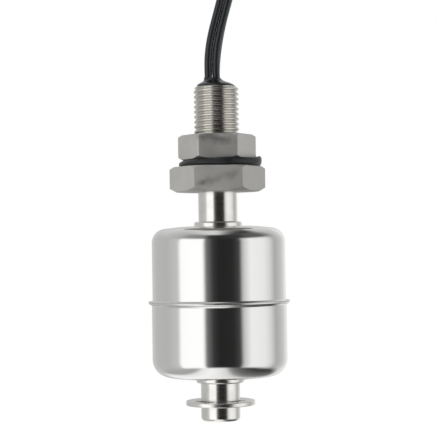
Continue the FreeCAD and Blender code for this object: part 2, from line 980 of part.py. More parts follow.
def make_lead_tips(doc, sizes):
    """Stripped and tinned ends of the leads."""
    size = (sizes["lead_diameter"] - sizes["insulation_thickness"] * 2, sizes["tip_length"])
    return [
        make_straight_end(doc, "lead_a_tip", LEAD_A_END, 1, *size),
        make_straight_end(doc, "lead_b_tip", LEAD_B_END, 1, *size),
    ]


def make_lead_coil(doc, sizes):
    """The coiled length as one ring of rounded section, with both leads' ends standing out of it."""
    body = make_body(doc, "wound_ring")
    inner = sizes["coil_inner_radius"]
    outer = inner + sizes["coil_width"]
    depth = sizes["coil_depth"]
    edge = sizes["coil_edge_round"]
    turn_outline(
        body,
        "Revolution",
        "ring_section",
        (
            (inner, edge),
            (inner + edge, 0, edge, 1),
            (outer - edge, 0),
            (outer, edge, edge, 1),
            (outer, depth - edge),
            (outer - edge, depth, edge, 1),
            (inner + edge, depth),
            (inner, depth - edge, edge, 1),
        ),
    )
    to_back = FreeCAD.Rotation(FreeCAD.Vector(0, 0, 1), FreeCAD.Vector(0, 1, 0))
    body.Placement = FreeCAD.Placement(FreeCAD.Vector(), to_back)
    body.setExpression("Placement.Base.x", sizes["coil_centre_across"].text)
    body.setExpression("Placement.Base.y", sizes["coil_front"].text)
    body.setExpression("Placement.Base.z", sizes["coil_centre_level"].text)
    size = (sizes["lead_diameter"], sizes["tail_length"])
    coil = doc.addObject("Part::MultiFuse", "lead_coil")
    coil.Shapes = [
        body,
        make_straight_end(doc, "lead_a_tail", LEAD_A_END, -1, *size),
        make_straight_end(doc, "lead_b_tail", LEAD_B_END, -1, *size),
    ]
    coil.Label = "lead_coil"
    return coil


def make_lead_tie(doc, sizes):
    """Band round the coil's section at its left side."""
    play = sizes["tie_play"]
    reach = sizes["coil_width"]
    blocks = []
    for name, spare in (("tie_outside", play + sizes["tie_thickness"]), ("tie_inside", play)):
        block = doc.addObject("Part::Box", name)
        block.setExpression("Length", (reach + spare * 2).text)
        block.setExpression("Width", (sizes["coil_depth"] + spare * 2).text)
        block.setExpression("Height", sizes["tie_width"].text)
        left = sizes["coil_centre_across"] - sizes["coil_inner_radius"] - reach - spare
        place_object(block, across=left, level=sizes["coil_centre_level"] - half(sizes["tie_width"]))
        block.setExpression("Placement.Base.y", (sizes["coil_front"] - spare).text)
        blocks.append(block)
    tie = doc.addObject("Part::Cut", "lead_tie")
    tie.Base, tie.Tool = blocks
    tie.Label = "lead_tie"
    return tie


# ---------------------------------------------------------------------------------------------
# The whole switch
# ---------------------------------------------------------------------------------------------


def check_objects(doc, pieces):
    """Stops if a feature failed or a piece has no valid shape."""
    for item in doc.Objects:
        faults = [state for state in item.State if state in ("Invalid", "Error")]
        if faults:
            raise RuntimeError(f"{item.Name} is {faults}")
    for piece in pieces:
        if piece.Shape.isNull() or not piece.Shape.isValid():
            raise RuntimeError(f"{piece.Label} has no valid shape")
        if len(piece.Shape.Solids) != 1:
            raise RuntimeError(f"{piece.Label} holds {len(piece.Shape.Solids)} solids")


def write_parts(pieces):
    """Writes each piece to its own file."""
    os.makedirs("parts", exist_ok=True)
    for piece in pieces:
        piece.Shape.exportStep(f"parts/{piece.Label}.step")


def main():
    doc = FreeCAD.newDocument("float_level_switch")
    sizes = make_sheet(doc)
    leads = make_leads(doc, sizes)
    pieces = [
        make_stem_body(doc, sizes),
        make_jam_nut(doc, sizes),
        make_gasket(doc, sizes),
        make_retaining_ring(doc, sizes),
        *make_float_shells(doc, sizes),
        make_float_tube(doc, sizes),
        make_ring_magnet(doc, sizes),
        *make_magnet_clips(doc, sizes),
        make_reed_glass(doc, sizes),
        *make_reed_blades(doc, sizes),
        make_return_wire(doc, sizes),
        *make_insulation(doc, sizes),
        make_potting(doc, leads, sizes),
        *leads,
        *make_lead_tips(doc, sizes),
        make_lead_coil(doc, sizes),
        make_lead_tie(doc, sizes),
    ]
    doc.recompute()
    check_objects(doc, pieces)
    write_parts(pieces)


main()
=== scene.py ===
import math

import bpy
from mathutils import Matrix, Vector


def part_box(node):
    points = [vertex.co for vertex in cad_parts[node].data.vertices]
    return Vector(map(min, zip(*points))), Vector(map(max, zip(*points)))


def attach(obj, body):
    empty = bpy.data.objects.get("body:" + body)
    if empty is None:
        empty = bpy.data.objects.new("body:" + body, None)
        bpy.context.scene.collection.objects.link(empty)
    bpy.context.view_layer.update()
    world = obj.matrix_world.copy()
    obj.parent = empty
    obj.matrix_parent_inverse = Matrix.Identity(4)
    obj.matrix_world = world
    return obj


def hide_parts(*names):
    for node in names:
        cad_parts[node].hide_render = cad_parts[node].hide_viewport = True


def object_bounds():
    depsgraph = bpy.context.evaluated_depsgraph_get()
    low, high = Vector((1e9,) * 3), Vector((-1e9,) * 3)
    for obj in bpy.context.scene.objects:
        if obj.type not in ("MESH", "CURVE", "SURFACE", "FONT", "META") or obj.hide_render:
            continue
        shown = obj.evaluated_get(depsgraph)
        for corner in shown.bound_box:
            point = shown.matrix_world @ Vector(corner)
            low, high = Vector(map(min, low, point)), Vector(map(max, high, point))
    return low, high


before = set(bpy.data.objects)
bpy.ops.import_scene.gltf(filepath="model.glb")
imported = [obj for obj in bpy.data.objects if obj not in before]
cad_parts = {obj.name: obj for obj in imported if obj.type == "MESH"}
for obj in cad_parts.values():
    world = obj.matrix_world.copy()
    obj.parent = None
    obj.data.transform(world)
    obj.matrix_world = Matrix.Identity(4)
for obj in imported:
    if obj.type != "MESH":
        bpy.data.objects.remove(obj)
CAD_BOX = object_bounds()

bl_info = {
    "name": "Float level switch",
    "version": (1, 0, 0),
    "blender": (4, 5, 0),
    "location": "3D View > Sidebar > Level switch",
    "description": "Builds the looks of a stainless steel float level switch around its solids",
    "category": "Add Mesh",
}

MM = 0.001
FULL_TURN = 2 * math.pi

# The thread's mesh: steps round it and rings to a pitch. Its outline, in shares of the pitch from
# the crest's middle: where the crest ends and where the root starts.
THREAD_STEPS = 120
THREAD_RINGS = 20
CREST_HALF = 0.13
ROOT_HALF = 0.42
END_CHAMFER = 0.32 * MM
END_SLOPE = 0.9
RUN_OUT_SLOPE = 1.2
DRILL_POINT = 1.9 * MM
RING_PLAY = 0.02 * MM


def low(node):
    """The lowest corner of a solid's box."""
    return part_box(node)[0]


def high(node):
    """The highest corner of a solid's box."""
    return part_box(node)[1]


# ---------------------------------------------------------------------------------------------
# Settings
# ---------------------------------------------------------------------------------------------


def length(name, description, millimetres):
    """A length property, given in millimetres."""
    return bpy.props.FloatProperty(
        name=name, description=description, default=millimetres * MM, min=0, unit="LENGTH",
        precision=5,
    )


def signed_length(name, description, millimetres):
    """A distance from the origin along one axis, given in millimetres, that may be negative."""
    return bpy.props.FloatProperty(
        name=name, description=description, default=millimetres * MM, unit="LENGTH", precision=5
    )


def number(name, description, default, highest=10.0):
    """A plain number property."""
    return bpy.props.FloatProperty(name=name, description=description, default=default, min=0,
                                   max=highest)


def colour(name, description, default):
    """A colour property."""
    return bpy.props.FloatVectorProperty(
        name=name, description=description, default=default, size=3, min=0, max=1,
        subtype="COLOR",
    )


def angle(name, description, degrees):
    """An angle property, given in degrees."""
    return bpy.props.FloatProperty(
        name=name, description=description, default=math.radians(degrees), subtype="ANGLE"
    )


class FittingSettings(bpy.types.PropertyGroup):
    """Sizes of the turned fitting."""

    thread_radius: length("Thread radius", "Radius over the thread's crests", 4.7625)
    thread_pitch: length("Pitch", "Distance from one crest to the next", 1.0583)
    thread_depth: length("Thread depth", "From the crests to the roots", 0.40)
    shank_length: length("Shank length", "From the flange to the shank's end", 16.9)
    run_out: length("Run-out", "Plain neck between the flange and the thread", 1.3)
    flange_flats: length("Flange across flats", "Width of the flange's hexagon", 17.65)
    flange_height: length("Flange height", "Thickness of the flange", 5.3)
    flange_turn: angle("Flange turn", "How far the hexagon is turned on the axis", 1.2)
    stem_radius: length("Stem radius", "Radius of the closed stem", 4.125)
    stem_end: length("Stem reach", "From the flange's seating face to the stem's end", 53.7)
    stem_round: length("Stem end round", "Radius of the stem's lower edge", 0.8)
    groove_radius: length("Groove radius", "Radius at the bottom of the ring's groove", 3.5)
    bore_radius: length("Bore radius", "Radius of the bore that holds the reed", 3.2)
    bore_depth: length("Bore depth", "From the seating face to the end of the bore", 46.8)


class NutSettings(bpy.types.PropertyGroup):
    """Sizes of the jam nut and the gasket."""

    flats: length("Nut across flats", "Width of the nut's hexagon", 14.4)
    turn: angle("Nut turn", "How far the nut is turned on the axis", 1.6)
    bore: length("Nut bore", "Radius of the nut's bore", 4.775)
    gasket_radius: length("Gasket radius", "Outer radius of the washer", 8.8)
    gasket_bore: length("Gasket bore", "Inner radius of the washer", 5.6)
    gasket_swell: length("Gasket swell", "How far the rim swells up beside the nut", 0.70)


class FloatSettings(bpy.types.PropertyGroup):
    """Sizes of the hollow float."""

    wall: length("Wall", "Thickness of the drawn shells", 0.4)
    dome: length("Dome", "How far the upper shell's end rises towards its tube", 0.4)
    upper_shoulder: length("Upper shoulder", "Radius of the upper shell's shoulder", 3.0)
    lower_shoulder: length("Lower shoulder", "Radius of the lower shell's shoulder", 3.7)
    lip_bend: length("Lip bend", "Radius where the wall turns out into the lip", 0.36)
    tube_bore: length("Tube bore", "Inner radius of the centre tube", 4.575)


class LeadSettings(bpy.types.PropertyGroup):
    """Sizes of the leads and of the coil that they are put away in."""

    diameter: length("Lead diameter", "Over the insulation", 1.6)
    coil_across: signed_length("Coil centre across", "Place of the coil's axis along X", -1.67)
    coil_level: signed_length("Coil centre level", "Place of the coil's axis along Z", -30.5)
    coil_start: length("Coil start", "Where the first turn lies along Y", 18.0)
    coil_pitch: length("Coil pitch", "How far a turn moves back", 1.62)
    coil_start_turn: angle("Coil start angle", "Where both leads enter the coil", 27)


class FinishSettings(bpy.types.PropertyGroup):
    """Colours and surfaces."""

    steel: colour("Machined steel", "Colour of the satin steel", (0.70, 0.69, 0.665))
    polished: colour("Polished steel", "Colour of the float", (0.79, 0.80, 0.80))
    rubber: colour("Rubber", "Colour of the gasket", (0.018, 0.019, 0.022))
    resin: colour("Resin", "Colour of the casting resin", (0.012, 0.013, 0.015))
    insulation: colour("Insulation", "Colour of the leads", (0.042, 0.048, 0.056))
    machined_roughness: number("Machined roughness", "Roughness of the hexagon faces", 0.56, 1)
    turned_roughness: number("Turned roughness", "Roughness of the stem and thread", 0.17, 1)
    polished_roughness: number("Polished roughness", "Roughness of the float", 0.03, 1)


class StageSettings(bpy.types.PropertyGroup):
    """Floor, lamps and camera."""

    camera_distance: length("Camera distance", "From the stem's axis to the lens", 323)
    camera_across: length("Camera across", "How far the lens stands to the right", 0.21)
    lens: number("Lens", "Focal length in millimetres on a 36 mm sensor", 125.23, 400)
    eye_level: signed_length("Eye level", "Height of the lens", -16.6)
    pitch: angle("Camera pitch", "How far the camera looks up", 0.98)
    roll: angle("Camera roll", "How far the camera is turned clockwise", 0.84)
    floor_drop: length("Floor drop", "From the stem's end to the floor", 24)
    floor_radius: length("Floor radius", "Radius of the floor's disc", 240)
    floor_colour: colour("Floor", "Colour of the floor", (0.83, 0.83, 0.83))
    lamp_power: number("Lamp power", "Power of the key lamp in watts", 0.55, 100)


SETTINGS = (
    ("level_switch_fitting", FittingSettings),
    ("level_switch_nut", NutSettings),
    ("level_switch_float", FloatSettings),
    ("level_switch_leads", LeadSettings),
    ("level_switch_finish", FinishSettings),
    ("level_switch_stage", StageSettings),
)


# ---------------------------------------------------------------------------------------------
# Modelling helpers
# ---------------------------------------------------------------------------------------------


def deselect_all():
    """Leaves nothing selected."""
    for obj in bpy.context.selected_objects:
        obj.select_set(False)


def name_new(name):
    """Names the object that an operator has just added, and its mesh."""
    obj = bpy.context.active_object
    obj.name = name
    obj.data.name = name
    return obj


def activate(obj):
    """Makes one object the only selected and active one."""
    deselect_all()
    obj.select_set(True)
    bpy.context.view_layer.objects.active = obj


def start_profile(name, point):
    """A new mesh in edit mode that holds one selected vertex."""
    deselect_all()
    bpy.ops.mesh.primitive_plane_add(size=MM, location=point)
    obj = name_new(name)
    bpy.ops.object.transform_apply(location=True, rotation=False, scale=False)
    bpy.ops.object.mode_set(mode="EDIT")
    bpy.ops.mesh.select_all(action="SELECT")
    bpy.ops.mesh.merge(type="CENTER")
    return obj


def draw_profile(name, points):
    """Extrudes a vertex from point to point, across (X) and up (Z)."""
    obj = start_profile(name, (points[0][0], 0, points[0][1]))
    for before, after in zip(points, points[1:]):
        step = (after[0] - before[0], 0, after[1] - before[1])
        bpy.ops.mesh.extrude_vertices_move(TRANSFORM_OT_translate={"value": step})
    return obj


def tidy_shell():
    """Merges what lies together and turns every face outwards, in edit mode."""
    bpy.ops.mesh.select_all(action="SELECT")
    bpy.ops.mesh.remove_doubles(threshold=2e-6)
    bpy.ops.mesh.normals_make_consistent(inside=False)


def spin_solid(name, points, steps=128):
    """A closed turned solid: the outline is spun once about the Z axis."""
    closed = list(points)
    if closed[0] != closed[-1] and not (closed[0][0] == 0 and closed[-1][0] == 0):
        closed.append(closed[0])
    obj = draw_profile(name, closed)
    bpy.ops.mesh.select_all(action="SELECT")
    bpy.ops.mesh.spin(steps=steps, angle=FULL_TURN, center=(0, 0, 0), axis=(0, 0, 1))
    tidy_shell()
    bpy.ops.object.mode_set(mode="OBJECT")
    return obj


def bend(centre, radius, start, end, count=8):
    """Points of an arc in an outline, from one angle to another in degrees."""
    points = []
    for index in range(count + 1):
        turn = math.radians(start + (end - start) * index / count)
        points.append((centre[0] + radius * math.cos(turn), centre[1] + radius * math.sin(turn)))
    return points


def apply_modifier(obj, name, kind, **values):
    """Adds a modifier with its values and applies it."""
    activate(obj)
    modifier = obj.modifiers.new(name, kind)
    for key, value in values.items():
        setattr(modifier, key, value)
    bpy.ops.object.modifier_apply(modifier=modifier.name)


def combine(obj, other, operation):
    """Applies a solid union, difference or intersection and removes the other solid."""
    apply_modifier(obj, operation.lower(), "BOOLEAN", object=other, operation=operation,
                   solver="EXACT")
    bpy.data.objects.remove(other)


def smooth(obj, degrees=32):
    """Shades faces smooth up to an angle."""
    activate(obj)
    bpy.ops.object.shade_smooth_by_angle(angle=math.radians(degrees))


def rest_at_origin(obj):
    """Puts an object's place and turn into its mesh."""
    activate(obj)
    bpy.ops.object.transform_apply(location=True, rotation=True, scale=True)


def dress(obj, body, material, replaced=()):
    """Fixes a piece to its body and its material."""
    obj.data.materials.clear()
    obj.data.materials.append(material)
    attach(obj, body)
    if replaced:
        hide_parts(*replaced)
    return obj


def hexagon(name, flats, bottom, top, turn, edge_round):
    """A hexagon block with two flats to the front and back and every edge rounded."""
    deselect_all()
    bpy.ops.mesh.primitive_cylinder_add(
        vertices=6, radius=flats / math.sqrt(3), depth=top - bottom,
        location=(0, 0, (top + bottom) / 2), rotation=(0, 0, math.radians(30) + turn),
    )
    obj = name_new(name)
    rest_at_origin(obj)
    bpy.ops.object.mode_set(mode="EDIT")
    bpy.ops.mesh.select_all(action="SELECT")
    bpy.ops.mesh.bevel(offset=edge_round, segments=3, affect="EDGES")
    bpy.ops.object.mode_set(mode="OBJECT")
    return obj


def corner_cone(name, flats, bottom, top, shares):
    """The double cone that a hexagon's corners are turned off to.

    The shares are the radii, of half the flats, at which the turning starts below and above.
    """
    below, above = (flats / 2 * share for share in shares)
    outer = flats * 0.64
    slope = math.tan(math.radians(30))
    return spin_solid(
        name,
        [(0, bottom), (below, bottom), (outer, bottom + (outer - below) * slope),
         (outer, top - (outer - above) * slope), (above, top), (0, top)],
    )


# ---------------------------------------------------------------------------------------------
# Shader node groups
# ---------------------------------------------------------------------------------------------


def new_group(name, inputs, outputs):
    """An empty shader group with named sockets."""
    group = bpy.data.node_groups.new(name, "ShaderNodeTree")
    for label, kind, default in inputs:
        socket = group.interface.new_socket(label, in_out="INPUT", socket_type=kind)
        if default is not None:
            socket.default_value = default
    for label, kind in outputs:
        group.interface.new_socket(label, in_out="OUTPUT", socket_type=kind)
    entry = group.nodes.new("NodeGroupInput")
    leave = group.nodes.new("NodeGroupOutput")
    return group, entry, leave


def add_math(tree, operation, *values):
    """A math node whose inputs are sockets or numbers."""
    node = tree.nodes.new("ShaderNodeMath")
    node.operation = operation
    for index, value in enumerate(values):
        if isinstance(value, bpy.types.NodeSocket):
            tree.links.new(value, node.inputs[index])
        else:
            node.inputs[index].default_value = value
    return node.outputs[0]


def add_range(tree, value, from_min, from_max, to_min, to_max):
    """A clamped map range node."""
    node = tree.nodes.new("ShaderNodeMapRange")
    tree.links.new(value, node.inputs["Value"])
    for key, number_value in (("From Min", from_min), ("From Max", from_max), ("To Min", to_min),
                              ("To Max", to_max)):
        if isinstance(number_value, bpy.types.NodeSocket):
            tree.links.new(number_value, node.inputs[key])
        else:
            node.inputs[key].default_value = number_value
    return node.outputs["Result"]


def add_noise(tree, vector, scale, detail=3.0, roughness=0.5):
    """A noise texture's factor."""
    node = tree.nodes.new("ShaderNodeTexNoise")
    tree.links.new(vector, node.inputs["Vector"])
    if isinstance(scale, bpy.types.NodeSocket):
        tree.links.new(scale, node.inputs["Scale"])
    else:
        node.inputs["Scale"].default_value = scale
    node.inputs["Detail"].default_value = detail
    node.inputs["Roughness"].default_value = roughness
    return node.outputs[0]


def build_turning_marks():
    """Fine rings that a lathe tool leaves: Height for a bump, and Tone from 0 to 1."""
    group, entry, leave = new_group(
        "turning_marks",
        [("Vector", "NodeSocketVector", None), ("Marks per metre", "NodeSocketFloat", 4000.0)],
        [("Height", "NodeSocketFloat"), ("Tone", "NodeSocketFloat")],
    )
    split = group.nodes.new("ShaderNodeSeparateXYZ")
    group.links.new(entry.outputs["Vector"], split.inputs[0])
    across = add_math(group, "POWER", split.outputs[0], 2.0)
    deep = add_math(group, "POWER", split.outputs[1], 2.0)
    radius = add_math(group, "SQRT", add_math(group, "ADD", across, deep))
    merge = group.nodes.new("ShaderNodeCombineXYZ")
    group.links.new(radius, merge.inputs[0])
    group.links.new(split.outputs[2], merge.inputs[1])
    fine = add_noise(group, merge.outputs[0], entry.outputs["Marks per metre"], 2.0, 0.6)
    wide = add_noise(group, merge.outputs[0],
                     add_math(group, "MULTIPLY", entry.outputs["Marks per metre"], 0.12), 1.0)
    group.links.new(fine, leave.inputs["Height"])
    group.links.new(add_math(group, "MULTIPLY", add_math(group, "ADD", fine, wide), 0.5),
                    leave.inputs["Tone"])
    return group


def build_handling():
    """Marks of use: Smudge is broad and soft, Scratch is thin lines, Speck is small dots."""
    group, entry, leave = new_group(
        "handling_marks",
        [("Vector", "NodeSocketVector", None), ("Smudge scale", "NodeSocketFloat", 160.0),
         ("Speck scale", "NodeSocketFloat", 900.0), ("Speck size", "NodeSocketFloat", 0.12)],
        [("Smudge", "NodeSocketFloat"), ("Scratch", "NodeSocketFloat"),
         ("Speck", "NodeSocketFloat")],
    )
    vector = entry.outputs["Vector"]
    smudge = add_noise(group, vector, entry.outputs["Smudge scale"], 4.0, 0.6)
    group.links.new(smudge, leave.inputs["Smudge"])
    stretch = group.nodes.new("ShaderNodeMapping")
    stretch.inputs["Rotation"].default_value = (0.3, 0.9, 0.5)
    stretch.inputs["Scale"].default_value = (1.0, 1.0, 14.0)
    group.links.new(vector, stretch.inputs["Vector"])
    lines = add_noise(group, stretch.outputs[0], 420.0, 3.0, 0.7)
    group.links.new(add_range(group, lines, 0.62, 0.72, 0.0, 1.0), leave.inputs["Scratch"])
    cells = group.nodes.new("ShaderNodeTexVoronoi")
    group.links.new(vector, cells.inputs["Vector"])
    group.links.new(entry.outputs["Speck scale"], cells.inputs["Scale"])
    speck = add_range(group, cells.outputs["Distance"], entry.outputs["Speck size"], 0.0, 0.0, 1.0)
    chance = add_range(group, add_noise(group, vector, 300.0, 1.0), 0.52, 0.6, 0.0, 1.0)
    group.links.new(add_math(group, "MULTIPLY", speck, chance), leave.inputs["Speck"])
    return group


def build_painted_reflection_band():
    """A painted reflection: a soft, broken dark band round a piece at a level that rises across
    it, standing in for a dark panel reflected in its faces; the mask runs from 0 to 1.
    """
    group, entry, leave = new_group(
        "oily_smear",
        [("Vector", "NodeSocketVector", None), ("Level", "NodeSocketFloat", 0.0),
         ("Slope", "NodeSocketFloat", 0.0)],
        [("Smear", "NodeSocketFloat")],
    )
    vector = entry.outputs["Vector"]
    split = group.nodes.new("ShaderNodeSeparateXYZ")
    group.links.new(vector, split.inputs[0])
    rise = add_math(group, "MULTIPLY", split.outputs[0], entry.outputs["Slope"])
    line = add_math(group, "ADD", entry.outputs["Level"], rise)
    sway = add_range(group, add_noise(group, vector, 420.0, 2.0), 0.3, 0.7, -0.0005, 0.0005)
    off = add_math(group, "ABSOLUTE",
                   add_math(group, "SUBTRACT", add_math(group, "ADD", split.outputs[2], sway),
                            line))
    band = add_range(group, off, 0.0012, 0.0001, 0.0, 1.0)
    gaps = add_range(group, add_noise(group, vector, 260.0, 2.0), 0.38, 0.6, 0.35, 1.0)
    apart = add_math(group, "ABSOLUTE", split.outputs[0])
    faded = add_range(group, apart, 0.0048, 0.0030, 0.0, 1.0)
    broken = add_math(group, "MULTIPLY", band, gaps)
    group.links.new(add_math(group, "MULTIPLY", broken, faded), leave.inputs["Smear"])
    return group


def shared_group(name, build):
    """A shader group, built the first time it is asked for."""
    return bpy.data.node_groups.get(name) or build()


# ---------------------------------------------------------------------------------------------
# Materials
# ---------------------------------------------------------------------------------------------


class Recipe:
    """A material being written: its tree, its shader and the point that it is read at."""

    def __init__(self, name):
        self.material = bpy.data.materials.new(name)
        self.material.use_nodes = True
        self.tree = self.material.node_tree
        self.shader = self.tree.nodes["Principled BSDF"]
        self.place = self.tree.nodes.new("ShaderNodeTexCoord").outputs["Object"]

    def set(self, **values):
        for key, value in values.items():
            self.shader.inputs[key.replace("_", " ")].default_value = value

    def group(self, name, build, **values):
        node = self.tree.nodes.new("ShaderNodeGroup")
        node.node_tree = shared_group(name, build)
        self.tree.links.new(self.place, node.inputs["Vector"])
        for key, value in values.items():
            node.inputs[key.replace("_", " ")].default_value = value
        return node

    def marks(self, per_metre):
        return self.group("turning_marks", build_turning_marks, Marks_per_metre=per_metre)

    def handling(self, **values):
        return self.group("handling_marks", build_handling, **values)

    def tone(self, factor, dark, light, low_value=0.0, high_value=1.0):
        """Mixes the base colour between two colours by a factor."""
        mix = self.tree.nodes.new("ShaderNodeMix")
        mix.data_type = "RGBA"
        mix.inputs["A"].default_value = (*dark, 1)
        mix.inputs["B"].default_value = (*light, 1)
        self.tree.links.new(add_range(self.tree, factor, low_value, high_value, 0, 1),
                            mix.inputs["Factor"])
        self.tree.links.new(mix.outputs["Result"], self.shader.inputs["Base Color"])
        return mix

    def roughen(self, factor, least, most, low_value=0.3, high_value=0.7):
        self.tree.links.new(add_range(self.tree, factor, low_value, high_value, least, most),
                            self.shader.inputs["Roughness"])

    def bump(self, height, distance, strength=1.0, previous=None):
        node = self.tree.nodes.new("ShaderNodeBump")
        node.inputs["Distance"].default_value = distance
        node.inputs["Strength"].default_value = strength
        self.tree.links.new(height, node.inputs["Height"])
        if previous is not None:
            self.tree.links.new(previous, node.inputs["Normal"])
        self.tree.links.new(node.outputs[0], self.shader.inputs["Normal"])
        return node.outputs[0]


def scaled(colour_value, factor):
    """A colour made lighter or darker."""
    return tuple(min(1.0, channel * factor) for channel in colour_value)


def machined_recipe(name, finish, level, slope, duller=0.0, tone=1.0):
    """Hexagon faces: milled and tumbled, with soft smudges and one painted reflection, a dark band
    at a level.
    """
    recipe = Recipe(name)
    recipe.set(Metallic=1.0)
    marks = recipe.marks(9000.0)
    use = recipe.handling(Smudge_scale=170.0, Speck_scale=1400.0)
    painted_reflection = recipe.group("oily_smear", build_painted_reflection_band, Level=level, Slope=slope)
    mix = recipe.tone(use.outputs["Smudge"], scaled(finish.steel, 0.9 * tone),
                      scaled(finish.steel, 1.06 * tone), 0.3, 0.7)
    # Painted reflection: the band darkens the base colour to a share of the steel, where a dark
    # panel would be reflected.
    painted_reflection_mix = recipe.tree.nodes.new("ShaderNodeMix")
    painted_reflection_mix.data_type = "RGBA"
    recipe.tree.links.new(painted_reflection.outputs["Smear"], painted_reflection_mix.inputs["Factor"])
    recipe.tree.links.new(mix.outputs["Result"], painted_reflection_mix.inputs["A"])
    painted_reflection_mix.inputs["B"].default_value = (*scaled(finish.steel, 0.56), 1)
    recipe.tree.links.new(painted_reflection_mix.outputs["Result"], recipe.shader.inputs["Base Color"])
    recipe.roughen(use.outputs["Smudge"], finish.machined_roughness + duller - 0.06,
                   finish.machined_roughness + duller + 0.08)
    first = recipe.bump(marks.outputs["Height"], 0.000004, 0.5)
    second = recipe.bump(use.outputs["Scratch"], 0.000006, 0.35, first)
    uneven = add_noise(recipe.tree, recipe.place, 210.0, 1.0)
    recipe.bump(uneven, 0.0004, 0.5, second)
    return recipe.material


def machined_steel(finish):
    """Faces of the flange."""
    # The level and slope place the flange's painted reflection band.
    return machined_recipe("machined_steel", finish, level=-2.75 * MM, slope=0.28, duller=0.16,
                           tone=1.08)


def machined_nut_steel(finish):
    """Faces of the jam nut."""
    # The level and slope place the nut's painted reflection band.
    return machined_recipe("machined_nut_steel", finish, level=5.45 * MM, slope=-0.14)


def turned_steel(finish):
    """Stem and the float's tube: fine bright turning."""
    recipe = Recipe("turned_steel")
    recipe.set(Metallic=1.0)
    marks = recipe.marks(14000.0)
    use = recipe.handling(Smudge_scale=240.0)
    recipe.tone(use.outputs["Smudge"], scaled(finish.steel, 1.02), scaled(finish.steel, 1.22),
                0.3, 0.7)
    recipe.roughen(marks.outputs["Tone"], finish.turned_roughness - 0.05,
                   finish.turned_roughness + 0.07)
    recipe.bump(marks.outputs["Height"], 0.000002, 0.4)
    return recipe.material


def threaded_steel(finish):
    """Shank and thread: cut and rolled, a little duller and warmer than the stem."""
    recipe = Recipe("threaded_steel")
    recipe.set(Metallic=1.0)
    marks = recipe.marks(11000.0)
    use = recipe.handling(Smudge_scale=300.0)
    red, green, blue = finish.steel
    warm = (red, green * 0.985, blue * 0.95)
    recipe.tone(use.outputs["Smudge"], scaled(warm, 0.80), scaled(warm, 0.96), 0.3, 0.7)
    recipe.roughen(marks.outputs["Tone"], finish.turned_roughness - 0.01,
                   finish.turned_roughness + 0.10)
    recipe.bump(marks.outputs["Height"], 0.000002, 0.4)
    return recipe.material


def polished_steel(finish):
    """Float: drawn and mirror-polished, with faint waves, wipe marks and pin-pricks."""
    recipe = Recipe("polished_steel")
    recipe.set(Metallic=1.0)
    use = recipe.handling(Smudge_scale=60.0, Speck_scale=520.0, Speck_size=0.10)
    recipe.tone(use.outputs["Speck"], finish.polished, scaled(finish.polished, 0.55))
    recipe.roughen(use.outputs["Smudge"], finish.polished_roughness * 0.6,
                   finish.polished_roughness * 1.6)
    dust = recipe.handling(Smudge_scale=900.0, Speck_scale=1500.0, Speck_size=0.24)
    recipe.tree.links.new(add_range(recipe.tree, dust.outputs["Speck"], 0.0, 1.0, 1.0, 0.72),
                          recipe.shader.inputs["Metallic"])
    waves = add_noise(recipe.tree, recipe.place, 95.0, 1.0)
    first = recipe.bump(waves, 0.00012, 0.3)
    recipe.bump(use.outputs["Speck"], 0.00002, 0.6, first)
    return recipe.material


MARK_SIZES = ("Smudge_scale", "Speck_scale", "Speck_size")
METAL = {"Metallic": 1.0}
